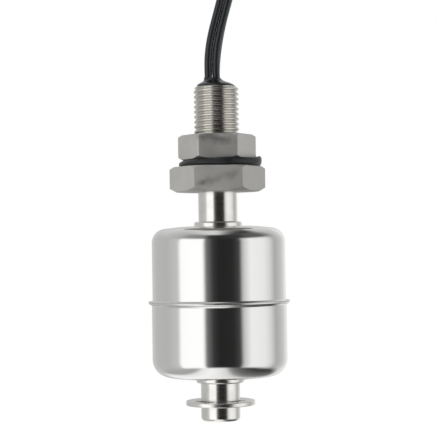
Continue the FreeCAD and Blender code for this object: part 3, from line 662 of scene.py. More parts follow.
# Finishes that differ only in their values. Each row holds the sizes of the marks, the colour's
# two ends (as they are, or a share of a setting), the smudge's span between them, the least and
# most roughness, one bump (mark, height in millimetres, strength) and the shader's other values.
PLAIN_FINISHES = {
    # The rim of the float's seam is cut, rolled flat and welded, so duller than the shells.
    "trimmed_rim": ((500.0,), (("steel", 0.85), ("steel", 1.1)), (0.3, 0.7), (0.28, 0.45),
                    ("Scratch", 0.01, 0.5), METAL),
    # Retaining ring and clips: stamped and tumbled bright.
    "spring_steel": ((420.0, 1500.0), (("steel", 1.0), ("steel", 1.28)), (0.3, 0.7),
                     (0.16, 0.34), ("Smudge", 0.01, 0.4), METAL),
    # Black rubber with a fine grain and soft dusty patches.
    "gasket_rubber": ((380.0, 2600.0, 0.3), (("rubber", 0.6), ("rubber", 2.0)), (0.35, 0.75),
                      (0.30, 0.55), ("Speck", 0.02, 0.35), {"Specular_IOR_Level": 0.45}),
    # Poured resin: glossy and faintly uneven.
    "casting_resin": ((300.0,), (("resin", 1.0), ("resin", 1.8)), (0.4, 0.8), (0.14, 0.3),
                      ("Smudge", 0.15, 0.5), {}),
    # Smooth extruded insulation with a soft sheen.
    "lead_insulation": ((520.0, 1800.0), (("insulation", 1.0), ("insulation", 1.7)),
                        (0.35, 0.75), (0.34, 0.46), ("Smudge", 0.02, 0.1),
                        {"Specular_IOR_Level": 0.9}),
    # Tinned strands: soft bright metal with a warm cast where the tin is thin.
    "tinned_copper": ((900.0,), ((0.70, 0.62, 0.55), (0.80, 0.80, 0.78)), (0.3, 0.55),
                      (0.2, 0.36), ("Smudge", 0.02, 0.5), METAL),
    # Green-tinted sealing glass.
    "capsule_glass": ((700.0,), ((0.62, 0.86, 0.72), (0.78, 0.94, 0.84)), (0.3, 0.7),
                      (0.01, 0.05), None, {"Transmission_Weight": 1.0, "IOR": 1.5}),
    # Nickel-iron wire and blades with a light oxide bloom.
    "contact_metal": ((1100.0,), ((0.50, 0.47, 0.41), (0.70, 0.68, 0.63)), (0.3, 0.7),
                      (0.22, 0.42), ("Scratch", 0.01, 0.4), METAL),
    # Pressed and fired ferrite: dark, fine-grained, with ground faces.
    "sintered_ferrite": ((260.0, 2200.0, 0.35), ((0.045, 0.045, 0.05), (0.11, 0.11, 0.115)),
                         (0.3, 0.7), (0.45, 0.7), ("Speck", 0.05, 0.5), {}),
    # Thin milky sleeve that has shrunk onto its joint.
    "shrunk_sleeve": ((650.0,), ((0.74, 0.71, 0.62), (0.88, 0.86, 0.80)), (0.3, 0.7),
                      (0.32, 0.5), ("Smudge", 0.1, 0.5),
                      {"Subsurface_Weight": 0.15, "Subsurface_Scale": 0.001}),
    # Natural nylon: warm, slightly see-through white.
    "nylon_tube": ((220.0,), ((0.72, 0.69, 0.58), (0.84, 0.81, 0.72)), (0.3, 0.7),
                   (0.36, 0.52), ("Scratch", 0.02, 0.4),
                   {"Subsurface_Weight": 0.2, "Subsurface_Scale": 0.002}),
    # Moulded black nylon with a fine spark-eroded grain.
    "tie_nylon": ((480.0, 3600.0, 0.4), ((0.02, 0.02, 0.022), (0.05, 0.05, 0.055)), (0.3, 0.7),
                  (0.4, 0.56), ("Speck", 0.03, 0.4), {}),
}
STEEL_FINISHES = {build.__name__: build for build in (
    machined_steel, machined_nut_steel, turned_steel, threaded_steel, polished_steel)}


def plain_finish(name, finish):
    """A material from the table of plain finishes."""
    sizes, colours, span, roughness, bump, shader = PLAIN_FINISHES[name]
    recipe = Recipe(name)
    recipe.set(**shader)
    use = recipe.handling(**dict(zip(MARK_SIZES, sizes)))
    ends = [scaled(getattr(finish, end[0]), end[1]) if isinstance(end[0], str) else end
            for end in colours]
    recipe.tone(use.outputs["Smudge"], *ends, *span)
    recipe.roughen(use.outputs["Smudge"], *roughness)
    if bump:
        mark, height, strength = bump
        recipe.bump(use.outputs[mark], height * MM, strength)
    return recipe.material


def finish_named(name):
    """A material, made the first time that a piece asks for it."""
    known = bpy.data.materials.get(name)
    if known:
        return known
    finish = bpy.context.scene.level_switch_finish
    build = STEEL_FINISHES.get(name)
    return build(finish) if build else plain_finish(name, finish)


# ---------------------------------------------------------------------------------------------
# Fitting
# ---------------------------------------------------------------------------------------------


def turned_blank(sizes):
    """Stem, neck and shank turned in one, with close rings where the thread is cut."""
    crest = sizes.thread_radius
    root = crest - sizes.thread_depth
    top = sizes.shank_length
    bore = sizes.bore_radius
    stem = sizes.stem_radius
    end = -sizes.stem_end
    groove = sizes.groove_radius
    step_level = -sizes.flange_height / 2
    ring_low = low("retaining_ring").z - RING_PLAY
    ring_high = high("retaining_ring").z + RING_PLAY
    rings = round((top - sizes.run_out) / sizes.thread_pitch * THREAD_RINGS)
    spacing = (top - sizes.run_out) / rings
    return spin_solid(
        "threaded_fitting",
        [(0, -sizes.bore_depth - DRILL_POINT), (bore, -sizes.bore_depth), (bore, top),
         *[(crest, top - spacing * index) for index in range(rings)],
         (root, sizes.run_out - 0.3 * MM), (root, step_level), (stem, step_level),
         (stem, ring_high), (groove, ring_high), (groove, ring_low), (stem, ring_low),
         *bend((stem - sizes.stem_round, end + sizes.stem_round), sizes.stem_round, 0, -90),
         (0, end)],
        THREAD_STEPS,
    )


def cut_thread(obj, sizes):
    """Moves the shank's close rings inwards along the right-hand helix."""
    crest = sizes.thread_radius
    pitch = sizes.thread_pitch
    depth = sizes.thread_depth
    top = sizes.shank_length
    for vertex in obj.data.vertices:
        level = vertex.co.z
        reach = vertex.co.xy.length
        if level < sizes.run_out * 0.9 or reach < crest - 0.01 * MM:
            continue
        turn = math.atan2(vertex.co.y, vertex.co.x) / FULL_TURN
        share = (level / pitch - turn) % 1
        slope = min(max((abs(share - 0.5) - CREST_HALF) / (ROOT_HALF - CREST_HALF), 0), 1)
        radius = crest - depth * slope
        radius = min(radius, crest - END_CHAMFER + max(0, top - level) * END_SLOPE)
        radius = min(radius, crest - depth + max(0, level - sizes.run_out) * RUN_OUT_SLOPE)
        vertex.co.x *= radius / reach
        vertex.co.y *= radius / reach


def soften_thread(obj, sizes):
    """Lets the thread's flanks run into each other smoothly, as rolled threads do."""
    activate(obj)
    bpy.ops.object.mode_set(mode="EDIT")
    bpy.ops.mesh.select_mode(type="EDGE")
    bpy.ops.mesh.select_all(action="DESELECT")
    bpy.ops.object.mode_set(mode="OBJECT")
    for edge in obj.data.edges:
        ends = [obj.data.vertices[i].co for i in edge.vertices]
        edge.select = all(sizes.run_out < end.z < sizes.shank_length - 0.01 * MM
                          and end.xy.length > sizes.bore_radius + 0.1 * MM for end in ends)
    bpy.ops.object.mode_set(mode="EDIT")
    bpy.ops.mesh.mark_sharp(clear=True)
    bpy.ops.mesh.select_mode(type="VERT")
    bpy.ops.object.mode_set(mode="OBJECT")


def build_fitting(sizes):
    """Thread, flange and stem as one solid with the bore through its shank."""
    obj = turned_blank(sizes)
    cut_thread(obj, sizes)
    bottom = -sizes.flange_height
    flange = hexagon("flange", sizes.flange_flats, bottom, 0, sizes.flange_turn, 0.18 * MM)
    cone = corner_cone("flange_cone", sizes.flange_flats, bottom, 0, (1.0, 1.05))
    combine(flange, cone, "INTERSECT")
    hole = spin_solid(
        "flange_hole",
        [(0, bottom - MM), (sizes.bore_radius + 0.4 * MM, bottom - MM),
         (sizes.bore_radius + 0.4 * MM, MM), (0, MM)],
        96,
    )
    combine(flange, hole, "DIFFERENCE")
    combine(obj, flange, "UNION")
    smooth(obj, 24)
    soften_thread(obj, sizes)
    return obj


class LEVELSWITCH_OT_fitting(bpy.types.Operator):
    """Build the threaded fitting with its hexagon flange and closed stem."""

    bl_idname = "level_switch.fitting"
    bl_label = "Threaded fitting"

    def execute(self, context):
        sizes = context.scene.level_switch_fitting
        obj = build_fitting(sizes)
        dress(obj, "fitting", finish_named("turned_steel"), ["stem_body"])
        obj.data.materials.append(finish_named("machined_steel"))
        obj.data.materials.append(finish_named("threaded_steel"))
        for face in obj.data.polygons:
            reach = face.center.xy.length
            inside = -sizes.flange_height - 0.01 * MM < face.center.z < 0.01 * MM
            if inside and reach > sizes.thread_radius + 0.2 * MM:
                face.material_index = 1
            elif face.center.z > 0.01 * MM and reach > sizes.bore_radius + 0.05 * MM:
                face.material_index = 2
        return {"FINISHED"}


class LEVELSWITCH_OT_jam_nut(bpy.types.Operator):
    """Build the jam nut."""

    bl_idname = "level_switch.jam_nut"
    bl_label = "Jam nut"

    def execute(self, context):
        sizes = context.scene.level_switch_nut
        bottom = low("jam_nut").z
        top = high("jam_nut").z
        obj = hexagon("nut", sizes.flats, bottom, top, sizes.turn, 0.24 * MM)
        cone = corner_cone("nut_cone", sizes.flats, bottom, top, (1.0, 1.04))
        combine(obj, cone, "INTERSECT")
        sink = 0.35 * MM
        clear = 0.5 * MM
        bore = sizes.bore
        cutter = spin_solid(
            "nut_bore",
            [(0, bottom - clear), (bore + sink + clear, bottom - clear), (bore, bottom + sink),
             (bore, top - sink), (bore + sink + clear, top + clear), (0, top + clear)],
        )
        combine(obj, cutter, "DIFFERENCE")
        obj.name = "threaded_jam_nut"
        smooth(obj, 24)
        dress(obj, "nut", finish_named("machined_nut_steel"), ["jam_nut"])
        return {"FINISHED"}


class LEVELSWITCH_OT_gasket(bpy.types.Operator):
    """Build the rubber gasket, squeezed to one side under the nut."""

    bl_idname = "level_switch.gasket"
    bl_label = "Gasket"

    def execute(self, context):
        sizes = context.scene.level_switch_nut
        thick = high("gasket").z - low("gasket").z
        outer = sizes.gasket_radius
        inner = sizes.gasket_bore
        edge = thick * 0.48
        obj = spin_solid(
            "rubber_gasket",
            [(inner, 0.1 * MM), (inner + 0.1 * MM, 0), (outer - edge, 0),
             *bend((outer - edge, edge), edge, -80, 0, 6),
             *bend((outer - edge, thick - edge), edge, 0, 90, 6),
             (inner + 0.1 * MM, thick), (inner, thick - 0.1 * MM)],
            96,
        )
        for vertex in obj.data.vertices:
            side = vertex.co.x / outer
            reach = max(0.0, (vertex.co.xy.length - 0.86 * outer) / (0.14 * outer))
            reach -= 0.6 * max(0.0, reach - 0.7)
            lift = vertex.co.z / thick
            wave = 0.5 + 0.5 * math.sin(math.atan2(vertex.co.y, vertex.co.x) * 3 + 0.6)
            vertex.co.z += lift * reach * sizes.gasket_swell * max(0.0, 0.35 + side) * (0.6 + wave)
            vertex.co.z -= lift * reach * 0.5 * MM * max(0.0, -side - 0.2)
        centre = (low("gasket").x + high("gasket").x) / 2
        obj.location.x = centre - 0.1 * MM
        rest_at_origin(obj)
        smooth(obj, 50)
        dress(obj, "fitting", finish_named("gasket_rubber"), ["gasket"])
        return {"FINISHED"}


class LEVELSWITCH_OT_retaining_ring(bpy.types.Operator):
    """Build the stamped retaining ring with its three lugs."""

    bl_idname = "level_switch.retaining_ring"
    bl_label = "Retaining ring"

    def execute(self, context):
        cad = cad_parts["retaining_ring"]
        obj = cad.copy()
        obj.data = cad.data.copy()
        for key in list(obj.keys()):
            if key.startswith("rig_"):
                del obj[key]
        obj.parent = None
        context.scene.collection.objects.link(obj)
        obj.name = "stamped_ring"
        activate(obj)
        bpy.ops.object.mode_set(mode="EDIT")
        bpy.ops.mesh.select_all(action="SELECT")
        bpy.ops.mesh.remove_doubles(threshold=2e-6)
        bpy.ops.mesh.dissolve_limited(angle_limit=math.radians(2))
        bpy.ops.object.mode_set(mode="OBJECT")
        apply_modifier(obj, "edge", "BEVEL", width=0.13 * MM, segments=3, limit_method="ANGLE",
                       angle_limit=math.radians(50))
        smooth(obj, 40)
        dress(obj, "fitting", finish_named("spring_steel"), ["retaining_ring"])
        return {"FINISHED"}


# ---------------------------------------------------------------------------------------------
# Float
# ---------------------------------------------------------------------------------------------


def build_shell(name, node, shoulder, upward, sizes):
    """A drawn shell with a rounded shoulder, a thin wall and a lip at the seam."""
    wall = sizes.wall
    bend_radius = sizes.lip_bend * (1 if upward else 1.5)
    dome = sizes.dome if upward else 0.4 * sizes.dome
    top = high(node).z - low(node).z
    lip = high(node).x
    outer = lip - (0.85 * MM if upward else 0.70 * MM)
    tube = high("float_tube").x
    lip_thick = 0.3 * MM
    hollow = shoulder - wall
    points = [
        (tube, top + dome * 0.9),
        (tube + 1.6 * MM, top + dome),
        (tube + 3.4 * MM, top + dome * 0.75),
        (outer - shoulder - 1.0 * MM, top + dome * 0.3),
        *bend((outer - shoulder, top - shoulder), shoulder, 88, 0, 18),
        *bend((outer + bend_radius, lip_thick + bend_radius), bend_radius, 180, 270, 5),
        *(bend((lip - 0.1 * MM, lip_thick - 0.1 * MM), 0.1 * MM, 90, 0, 4) if upward
          else bend((lip - lip_thick, 0), lip_thick, 90, 20, 8)),
        (lip - 0.03 * MM, 0),
        *bend((outer + bend_radius, bend_radius + wall), bend_radius + wall, 270, 180, 5),
        *bend((outer - shoulder, top - shoulder), hollow, 0, 90, 14),
        (tube, top - wall),
    ]
    if upward:
        points = [(across, low(node).z + up) for across, up in points]
    else:
        points = [(across, high(node).z - up) for across, up in points]
    obj = spin_solid(name, points, 160)
    smooth(obj, 30)
    return obj


class LEVELSWITCH_OT_float(bpy.types.Operator):
    """Build the float's two polished shells and its centre tube."""

    bl_idname = "level_switch.float"
    bl_label = "Float"

    def execute(self, context):
        sizes = context.scene.level_switch_float
        polished = finish_named("polished_steel")
        upper = build_shell("polished_upper_shell", "float_upper_shell", sizes.upper_shoulder,
                            True, sizes)
        dress(upper, "float", polished, ["float_upper_shell"])
        self.trim_lip(upper)
        lower = build_shell("polished_lower_shell", "float_lower_shell", sizes.lower_shoulder,
                            False, sizes)
        dress(lower, "float", polished, ["float_lower_shell"])
        outer = high("float_tube").x
        inner = sizes.tube_bore
        bottom = low("float_tube").z
        top = high("float_tube").z
        edge = 0.35 * MM
        tube = spin_solid(
            "float_centre_tube",
            [*bend((inner + 0.1 * MM, bottom + 0.1 * MM), 0.1 * MM, 180, 270, 3),
             *bend((outer - edge, bottom + edge), edge, -90, 0, 6),
             *bend((outer - edge, top - edge), edge, 0, 90, 6),
             *bend((inner + 0.1 * MM, top - 0.1 * MM), 0.1 * MM, 90, 180, 3)],
        )
        smooth(tube, 30)
        dress(tube, "float", finish_named("turned_steel"), ["float_tube"])
        return {"FINISHED"}

    def trim_lip(self, shell):
        """The seam's trimmed rim keeps a duller, cut surface."""
        shell.data.materials.append(finish_named("trimmed_rim"))
        edge = max(vertex.co.xy.length for vertex in shell.data.vertices) - 0.18 * MM
        for face in shell.data.polygons:
            face.material_index = int(face.center.xy.length > edge)


class LEVELSWITCH_OT_inner_parts(bpy.types.Operator):
    """Finish the sealed pieces: magnet, clips, reed switch, wires and sleeves."""

    bl_idname = "level_switch.inner_parts"
    bl_label = "Inner parts"

    def execute(self, context):
        finishes = {
            "ring_magnet": "sintered_ferrite",
            "magnet_clip_upper": "spring_steel",
            "magnet_clip_lower": "spring_steel",
            "reed_glass": "capsule_glass",
            "reed_blade_upper": "contact_metal",
            "reed_blade_lower": "contact_metal",
            "return_wire": "tinned_copper",
            "return_sleeve": "shrunk_sleeve",
            "splice_sleeve_a": "shrunk_sleeve",
            "splice_sleeve_b": "shrunk_sleeve",
            "splice_sleeve_lower": "shrunk_sleeve",
            "reed_carrier": "nylon_tube",
        }
        for node, name in finishes.items():
            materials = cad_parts[node].data.materials
            materials.clear()
            materials.append(finish_named(name))
        return {"FINISHED"}


# ---------------------------------------------------------------------------------------------
# Leads and the resin that holds them
# ---------------------------------------------------------------------------------------------


class LEVELSWITCH_OT_potting(bpy.types.Operator):
    """Cast the resin plug, which creeps up both leads where they leave the shank."""

    bl_idname = "level_switch.potting"
    bl_label = "Resin plug"

    def execute(self, context):
        shank = context.scene.level_switch_fitting.shank_length
        bottom = low("potting").z
        across = high("potting").x
        plug = context.scene.level_switch_fitting.bore_radius - 0.01 * MM
        rise = ((0.02, 0), (0.32, 0.12), (0.62, 0.42), (0.92, 1.0), (1.12, 1.55), (1.38, 1.98),
                (1.70, 2.28), (2.05, 2.42))
        points = [(0, bottom), (plug, bottom), (plug, shank)]
        points += [(across - inward * MM, shank + up * MM) for up, inward in rise]
        points.append((0, points[-1][1]))
        obj = spin_solid("resin_plug", points, 72)
        for vertex in obj.data.vertices:
            share = max(0.0, (vertex.co.z - shank) / (2.05 * MM))
            vertex.co.y *= 1 - 0.36 * share ** 1.5
            vertex.co.x -= 0.85 * MM * share ** 1.3
        smooth(obj, 40)
        dress(obj, "fitting", finish_named("casting_resin"), ["potting"])
        return {"FINISHED"}


LEAD_A_ROUTE = (
    (-1.10, 0.0, 8.5), (-1.10, 0.0, 12.0), (-1.67, 0.0, 18.0),
    (-1.60, 0.0, 25.6), (1.12, 0.0, 35.3), (3.10, 0.0, 43.0),
    (4.10, 5.3, 48.3), (4.00, 12.7, 48.3), (2.80, 18.0, 43.0),
    (-1.25, 18.0, 29.0), (-1.82, 18.1, 17.5), (-2.30, 18.2, 6.0),
    (-2.45, 18.2, -4.3), (0.36, 18.1, -15.9), (5.62, 18.0, -26.75),
)
LEAD_B_ROUTE = (
    (1.10, 0.0, 8.5), (1.10, 0.0, 12.0), (-0.03, 0.0, 18.0),
    (0.06, 0.0, 25.4), (2.76, 0.0, 35.1), (4.80, 0.0, 42.9),
    (5.78, 5.3, 48.3), (5.68, 12.7, 48.3), (4.52, 18.0, 43.0),
    (0.46, 18.0, 29.0), (-0.18, 18.1, 17.5), (-0.66, 18.2, 6.0),
    (-0.81, 18.2, -4.1), (1.93, 18.1, -15.3), (7.08, 18.0, -26.05),
)
POINTS_PER_TURN = 18


def coil_points(radius, sweep, tail, sizes):
    """Control points of a lead's turns, in metres, and of the straight tail that leaves them."""
    spread = radius / math.cos(math.pi / POINTS_PER_TURN) * MM
    count = round(sweep / 360 * POINTS_PER_TURN)
    start = sizes.coil_start_turn
    points = []
    for index in range(1, count + 1):
        share = index / count
        turn = start - math.radians(sweep) * share
        back = sizes.coil_start + sizes.coil_pitch * sweep / 360 * share
        points.append((sizes.coil_across + spread * math.cos(turn), back,
                       sizes.coil_level + spread * math.sin(turn)))
    way = (math.sin(turn), -math.cos(turn))
    for reach in (0.5 * tail * MM, tail * MM):
        points.append((sizes.coil_across + radius * MM * math.cos(turn) + way[0] * reach, back,
                       sizes.coil_level + radius * MM * math.sin(turn) + way[1] * reach))
    return points


def build_lead(name, route, radius, sweep, tail, sizes):
    """One insulated lead as a smooth line through its route, its turns and its tail."""
    points = [tuple(value * MM for value in point) for point in route]
    points += coil_points(radius, sweep, tail, sizes)
    curve = bpy.data.curves.new(name, "CURVE")
    curve.dimensions = "3D"
    spline = curve.splines.new("NURBS")
    spline.points.add(len(points) - 1)
    for point, place in zip(spline.points, points):
        point.co = (*place, 1)
    spline.order_u = 3
    spline.use_endpoint_u = True
    spline.resolution_u = 16
    curve.resolution_u = 16
    curve.bevel_depth = sizes.diameter / 2 * 0.994
    curve.bevel_resolution = 6
    curve.use_fill_caps = True
    obj = bpy.data.objects.new(name, curve)
    bpy.context.scene.collection.objects.link(obj)
    return obj


def build_tip(name, node, start, way):
    """Twisted tinned strands that end a lead."""
    deselect_all()
    bpy.ops.mesh.primitive_circle_add(vertices=28, radius=0.36 * MM, fill_type="NGON")
    obj = name_new(name)
    for vertex in obj.data.vertices:
        if vertex.index % 4 == 0:
            vertex.co *= 0.82
    bpy.ops.object.mode_set(mode="EDIT")
    bpy.ops.mesh.select_mode(type="FACE")
    bpy.ops.mesh.select_all(action="SELECT")
    for _ in range(14):
        bpy.ops.mesh.extrude_region_move(TRANSFORM_OT_translate={"value": (0, 0, 5.0 / 14 * MM)})
        bpy.ops.transform.rotate(value=math.radians(14), orient_axis="Z",
                                 center_override=(0, 0, 0))
    bpy.ops.mesh.select_mode(type="VERT")
    tidy_shell()
    bpy.ops.object.mode_set(mode="OBJECT")
    turn = Vector(way).to_track_quat("Z", "X").to_matrix().to_4x4()
    obj.matrix_world = Matrix.Translation([value * MM for value in start]) @ turn
    rest_at_origin(obj)
    smooth(obj, 40)
    dress(obj, "fitting", finish_named("tinned_copper"), [node])
    return obj


class LEVELSWITCH_OT_leads(bpy.types.Operator):
    """Lay both leads with their coil, tinned ends and tie."""

    bl_idname = "level_switch.leads"
    bl_label = "Leads"

    def execute(self, context):
        sizes = context.scene.level_switch_leads
        black = finish_named("lead_insulation")
        tie = self.build_tie()
        tips = [
            build_tip("tinned_end_a", "lead_a_tip", (-4.30, 23.25, -41.65), (-0.857, 0, -0.515)),
            build_tip("tinned_end_b", "lead_b_tip", (-2.36, 22.39, -18.12), (0.755, 0, 0.656)),
        ]
        lead_a = build_lead("insulated_lead_a", LEAD_A_ROUTE, radius=8.2, sweep=1166, tail=8.0,
                            sizes=sizes)
        dress(lead_a, "fitting", black, ["lead_a", "lead_coil"])
        lead_b = build_lead("insulated_lead_b", LEAD_B_ROUTE, radius=9.8, sweep=976, tail=7.6,
                            sizes=sizes)
        dress(lead_b, "fitting", black, ["lead_b"])
        return {"FINISHED"}

    def build_tie(self):
        """A narrow nylon band round the coil with its ratchet head."""
        bottom = low("lead_tie")
        top = high("lead_tie")
        middle = (bottom + top) / 2
        deselect_all()
        bpy.ops.mesh.primitive_plane_add(size=1, location=(middle.x, middle.y, bottom.z))
        obj = name_new("coil_tie")
        obj.scale = (top.x - bottom.x, top.y - bottom.y, 1)
        rest_at_origin(obj)
        bpy.ops.object.mode_set(mode="EDIT")
        bpy.ops.mesh.select_all(action="SELECT")
        bpy.ops.mesh.bevel(offset=1.3 * MM, segments=5, affect="VERTICES")
        bpy.ops.mesh.select_all(action="SELECT")
        bpy.ops.mesh.delete(type="ONLY_FACE")
        bpy.ops.mesh.select_all(action="SELECT")
        bpy.ops.mesh.extrude_region_move(
            TRANSFORM_OT_translate={"value": (0, 0, top.z - bottom.z)})
        tidy_shell()
        bpy.ops.object.mode_set(mode="OBJECT")
        apply_modifier(obj, "thickness", "SOLIDIFY", thickness=0.6 * MM, offset=-1)
        apply_modifier(obj, "edge", "BEVEL", width=0.12 * MM, segments=2, limit_method="ANGLE",
                       angle_limit=math.radians(50))
        deselect_all()
        bpy.ops.mesh.primitive_cube_add(
            size=1, location=(bottom.x + 1.6 * MM, bottom.y + 0.3 * MM, middle.z))
        head = name_new("tie_head")
        head.scale = (2.8 * MM, 1.9 * MM, 3.2 * MM)
        rest_at_origin(head)
        apply_modifier(head, "edge", "BEVEL", width=0.3 * MM, segments=3)
        combine(obj, head, "UNION")
        smooth(obj, 35)
        dress(obj, "fitting", finish_named("tie_nylon"), ["lead_tie"])
        return obj


# ---------------------------------------------------------------------------------------------
# Stage
# ---------------------------------------------------------------------------------------------

# Studio panorama: degrees about the stem from the front, positive to the right, and brightness.
PANORAMA = (
    (-180, 0.62), (-160, 0.66), (-135, 0.58), (-100, 0.56), (-75, 0.66),
    (-68, 1.26), (-27.5, 1.30), (-22, 0.20), (-10, 0.045), (0, 0.022),
    (24, 0.026), (36, 0.06), (42, 0.66), (56, 1.08), (84, 1.02),
    (97, 0.84), (112, 0.50), (134, 0.66), (160, 0.95), (180, 0.62),
)
# The same degrees, for the strip above the panels.
PANEL_TOPS = (
    (-180, 0.80), (-110, 0.60), (-80, 0.50), (-62, 0.34), (-30, 0.27),
    (-18, 0.05), (0, 0.03), (45, 0.05), (60, 0.11), (95, 0.14),
    (112, 0.34), (130, 0.62), (180, 0.80),
)
# Brightness across the ceiling and the ground, from the left (-1) to the right (1).
CEILING = ((-1, 0.60), (-0.5, 0.60), (-0.1, 0.82), (0, 0.70), (0.1, 0.40), (0.2, 0.19),
           (0.3, 0.09), (0.42, 0.045), (0.52, 0.06), (0.62, 0.12), (0.74, 0.30), (1, 0.8))
GROUND = ((-1, 0.55), (-0.65, 0.47), (-0.60, 0.45), (-0.53, 0.58), (-0.44, 1.0), (-0.2, 1.15),
          (0, 1.0), (0.14, 0.85), (0.26, 0.34), (0.40, 0.18), (0.60, 0.10), (0.69, 0.055),
          (0.77, 0.08), (0.86, 0.30), (1, 0.6))


def ramp_of(tree, value, stops, name):
    """A brightness ramp over the stops' places."""
    node = tree.nodes.new("ShaderNodeFloatCurve")
    node.label = name
    curve = node.mapping.curves[0]
    node.mapping.clip_max_y = 2.0
    node.mapping.use_clip = False
    start, end = stops[0][0], stops[-1][0]
    places = [((place - start) / (end - start), brightness / 2) for place, brightness in stops]
    curve.points[0].location = places[0]
    curve.points[1].location = places[-1]
    for place in places[1:-1]:
        curve.points.new(*place)
    for point in curve.points:
        point.handle_type = "VECTOR"
    node.mapping.update()
    tree.links.new(value, node.inputs["Value"])
    return add_math(tree, "MULTIPLY", node.outputs[0], 2.0)


def build_world(scene):
    """Pure white behind the switch, and a studio of panels for everything that reflects."""
    world = bpy.data.worlds.new("studio")
    scene.world = world
    world.use_nodes = True
    tree = world.node_tree
    background = tree.nodes["Background"]
    split = tree.nodes.new("ShaderNodeSeparateXYZ")
    place = tree.nodes.new("ShaderNodeTexCoord")
    tree.links.new(place.outputs["Generated"], split.inputs[0])
    forward = add_math(tree, "MULTIPLY", split.outputs[1], -1.0)
    turn = add_math(tree, "ARCTAN2", split.outputs[0], forward)
    share = add_range(tree, turn, -math.pi, math.pi, 0.0, 1.0)
    level = split.outputs[2]
    mixed = ramp_of(tree, share, PANORAMA, "panels")
    across = add_range(tree, split.outputs[0], -1.0, 1.0, 0.0, 1.0)
    zones = (
        (add_range(tree, level, 0.34, 0.54, 0.0, 1.0),
         ramp_of(tree, share, PANEL_TOPS, "panel tops")),
        (add_range(tree, level, 0.80, 0.91, 0.0, 1.0), ramp_of(tree, across, CEILING, "ceiling")),
        (add_range(tree, level, -0.44, -0.60, 0.0, 1.0), ramp_of(tree, across, GROUND, "ground")),
    )
    for factor, other in zones:
        mix = tree.nodes.new("ShaderNodeMix")
        mix.data_type = "FLOAT"
        tree.links.new(factor, mix.inputs["Factor"])
        tree.links.new(mixed, mix.inputs["A"])
        tree.links.new(other, mix.inputs["B"])
        mixed = mix.outputs["Result"]
    path = tree.nodes.new("ShaderNodeLightPath")
    mix = tree.nodes.new("ShaderNodeMix")
    mix.data_type = "FLOAT"
    tree.links.new(path.outputs["Is Camera Ray"], mix.inputs["Factor"])
    tree.links.new(mixed, mix.inputs["A"])
    mix.inputs["B"].default_value = 1.0
    tree.links.new(mix.outputs["Result"], background.inputs["Strength"])
    background.inputs["Color"].default_value = (1, 1, 1, 1)


def floor_material(sizes):
    """Pale floor that keeps the shadow and shows white to the lens and in metal."""
    material = bpy.data.materials.new("studio_floor")
    material.use_nodes = True
    tree = material.node_tree
    tree.nodes.clear()
    output = tree.nodes.new("ShaderNodeOutputMaterial")
    matt = tree.nodes.new("ShaderNodeBsdfDiffuse")
    matt.inputs["Color"].default_value = (*sizes.floor_colour, 1)
    glow = tree.nodes.new("ShaderNodeEmission")
    path = tree.nodes.new("ShaderNodeLightPath")
    seen = add_math(tree, "MAXIMUM", path.outputs["Is Camera Ray"], path.outputs["Is Glossy Ray"])
    seen = add_math(tree, "MAXIMUM", seen, path.outputs["Is Transmission Ray"])
    tree.links.new(add_math(tree, "MULTIPLY", seen, 0.6), glow.inputs["Strength"])
    both = tree.nodes.new("ShaderNodeAddShader")
    tree.links.new(matt.outputs[0], both.inputs[0])
    tree.links.new(glow.outputs[0], both.inputs[1])
    tree.links.new(both.outputs[0], output.inputs["Surface"])
    return material


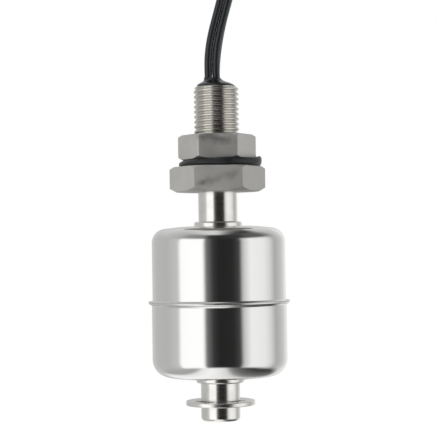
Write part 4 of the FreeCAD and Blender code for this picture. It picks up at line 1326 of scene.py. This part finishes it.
class LEVELSWITCH_OT_stage(bpy.types.Operator):
    """Set up the floor, the lamps, the world and the camera."""

    bl_idname = "level_switch.stage"
    bl_label = "Stage"

    def execute(self, context):
        sizes = context.scene.level_switch_stage
        scene = context.scene
        scene.view_settings.view_transform = "Standard"
        build_world(scene)
        level = CAD_BOX[0][2] - sizes.floor_drop
        deselect_all()
        bpy.ops.mesh.primitive_circle_add(vertices=96, radius=sizes.floor_radius,
                                          fill_type="NGON", location=(0, 0, level))
        floor = name_new("studio_floor")
        rest_at_origin(floor)
        floor.data.materials.append(floor_material(sizes))
        floor.visible_glossy = False
        self.add_lamp("key_lamp", (-0.35, -0.45, 0.55), 0.5, sizes.lamp_power)
        self.add_lamp("fill_lamp", (0.5, -0.25, 0.3), 0.5, sizes.lamp_power * 0.5)
        self.add_camera(scene, sizes)
        return {"FINISHED"}

    def add_lamp(self, name, place, size, power):
        """A soft square lamp that points at the switch."""
        data = bpy.data.lights.new(name, "AREA")
        data.energy = power
        data.size = size
        lamp = bpy.data.objects.new(name, data)
        bpy.context.scene.collection.objects.link(lamp)
        lamp.location = place
        aim = Vector((0, 0, -0.01)) - Vector(place)
        lamp.rotation_euler = aim.to_track_quat("-Z", "Y").to_euler()
        lamp.visible_glossy = False

    def add_camera(self, scene, sizes):
        """The camera stands in front of the stem, looks a little up and is turned slightly."""
        data = bpy.data.cameras.new("camera")
        data.lens = sizes.lens
        data.sensor_width = 36
        data.clip_start = 0.01
        camera = bpy.data.objects.new("camera", data)
        scene.collection.objects.link(camera)
        place = Matrix.Translation((sizes.camera_across, -sizes.camera_distance, sizes.eye_level))
        tilt = Matrix.Rotation(math.pi / 2 + sizes.pitch, 4, "X")
        camera.matrix_world = place @ tilt @ Matrix.Rotation(-sizes.roll, 4, "Z")
        scene.camera = camera


# ---------------------------------------------------------------------------------------------
# Panel and registration
# ---------------------------------------------------------------------------------------------

OPERATORS = (
    LEVELSWITCH_OT_stage,
    LEVELSWITCH_OT_leads,
    LEVELSWITCH_OT_fitting,
    LEVELSWITCH_OT_jam_nut,
    LEVELSWITCH_OT_gasket,
    LEVELSWITCH_OT_retaining_ring,
    LEVELSWITCH_OT_float,
    LEVELSWITCH_OT_inner_parts,
    LEVELSWITCH_OT_potting,
)


class LEVELSWITCH_PT_panel(bpy.types.Panel):
    """Lists the pieces of the level switch and their sizes."""

    bl_idname = "LEVELSWITCH_PT_panel"
    bl_label = "Level switch"
    bl_space_type = "VIEW_3D"
    bl_region_type = "UI"
    bl_category = "Level switch"

    def draw(self, context):
        for operator in OPERATORS:
            self.layout.operator(operator.bl_idname)
        for name, group in SETTINGS:
            box = self.layout.box()
            for key in group.__annotations__:
                box.prop(getattr(context.scene, name), key)


def register():
    for name, group in SETTINGS:
        bpy.utils.register_class(group)
        setattr(bpy.types.Scene, name, bpy.props.PointerProperty(type=group))
    for operator in OPERATORS:
        bpy.utils.register_class(operator)
    bpy.utils.register_class(LEVELSWITCH_PT_panel)


def unregister():
    bpy.utils.unregister_class(LEVELSWITCH_PT_panel)
    for operator in reversed(OPERATORS):
        bpy.utils.unregister_class(operator)
    for name, group in reversed(SETTINGS):
        delattr(bpy.types.Scene, name)
        bpy.utils.unregister_class(group)


def main():
    register()
    bpy.ops.level_switch.stage()
    bpy.ops.level_switch.leads()
    bpy.ops.level_switch.fitting()
    bpy.ops.level_switch.jam_nut()
    bpy.ops.level_switch.gasket()
    bpy.ops.level_switch.retaining_ring()
    bpy.ops.level_switch.float()
    bpy.ops.level_switch.inner_parts()
    bpy.ops.level_switch.potting()


if __name__ == "__main__":
    main()
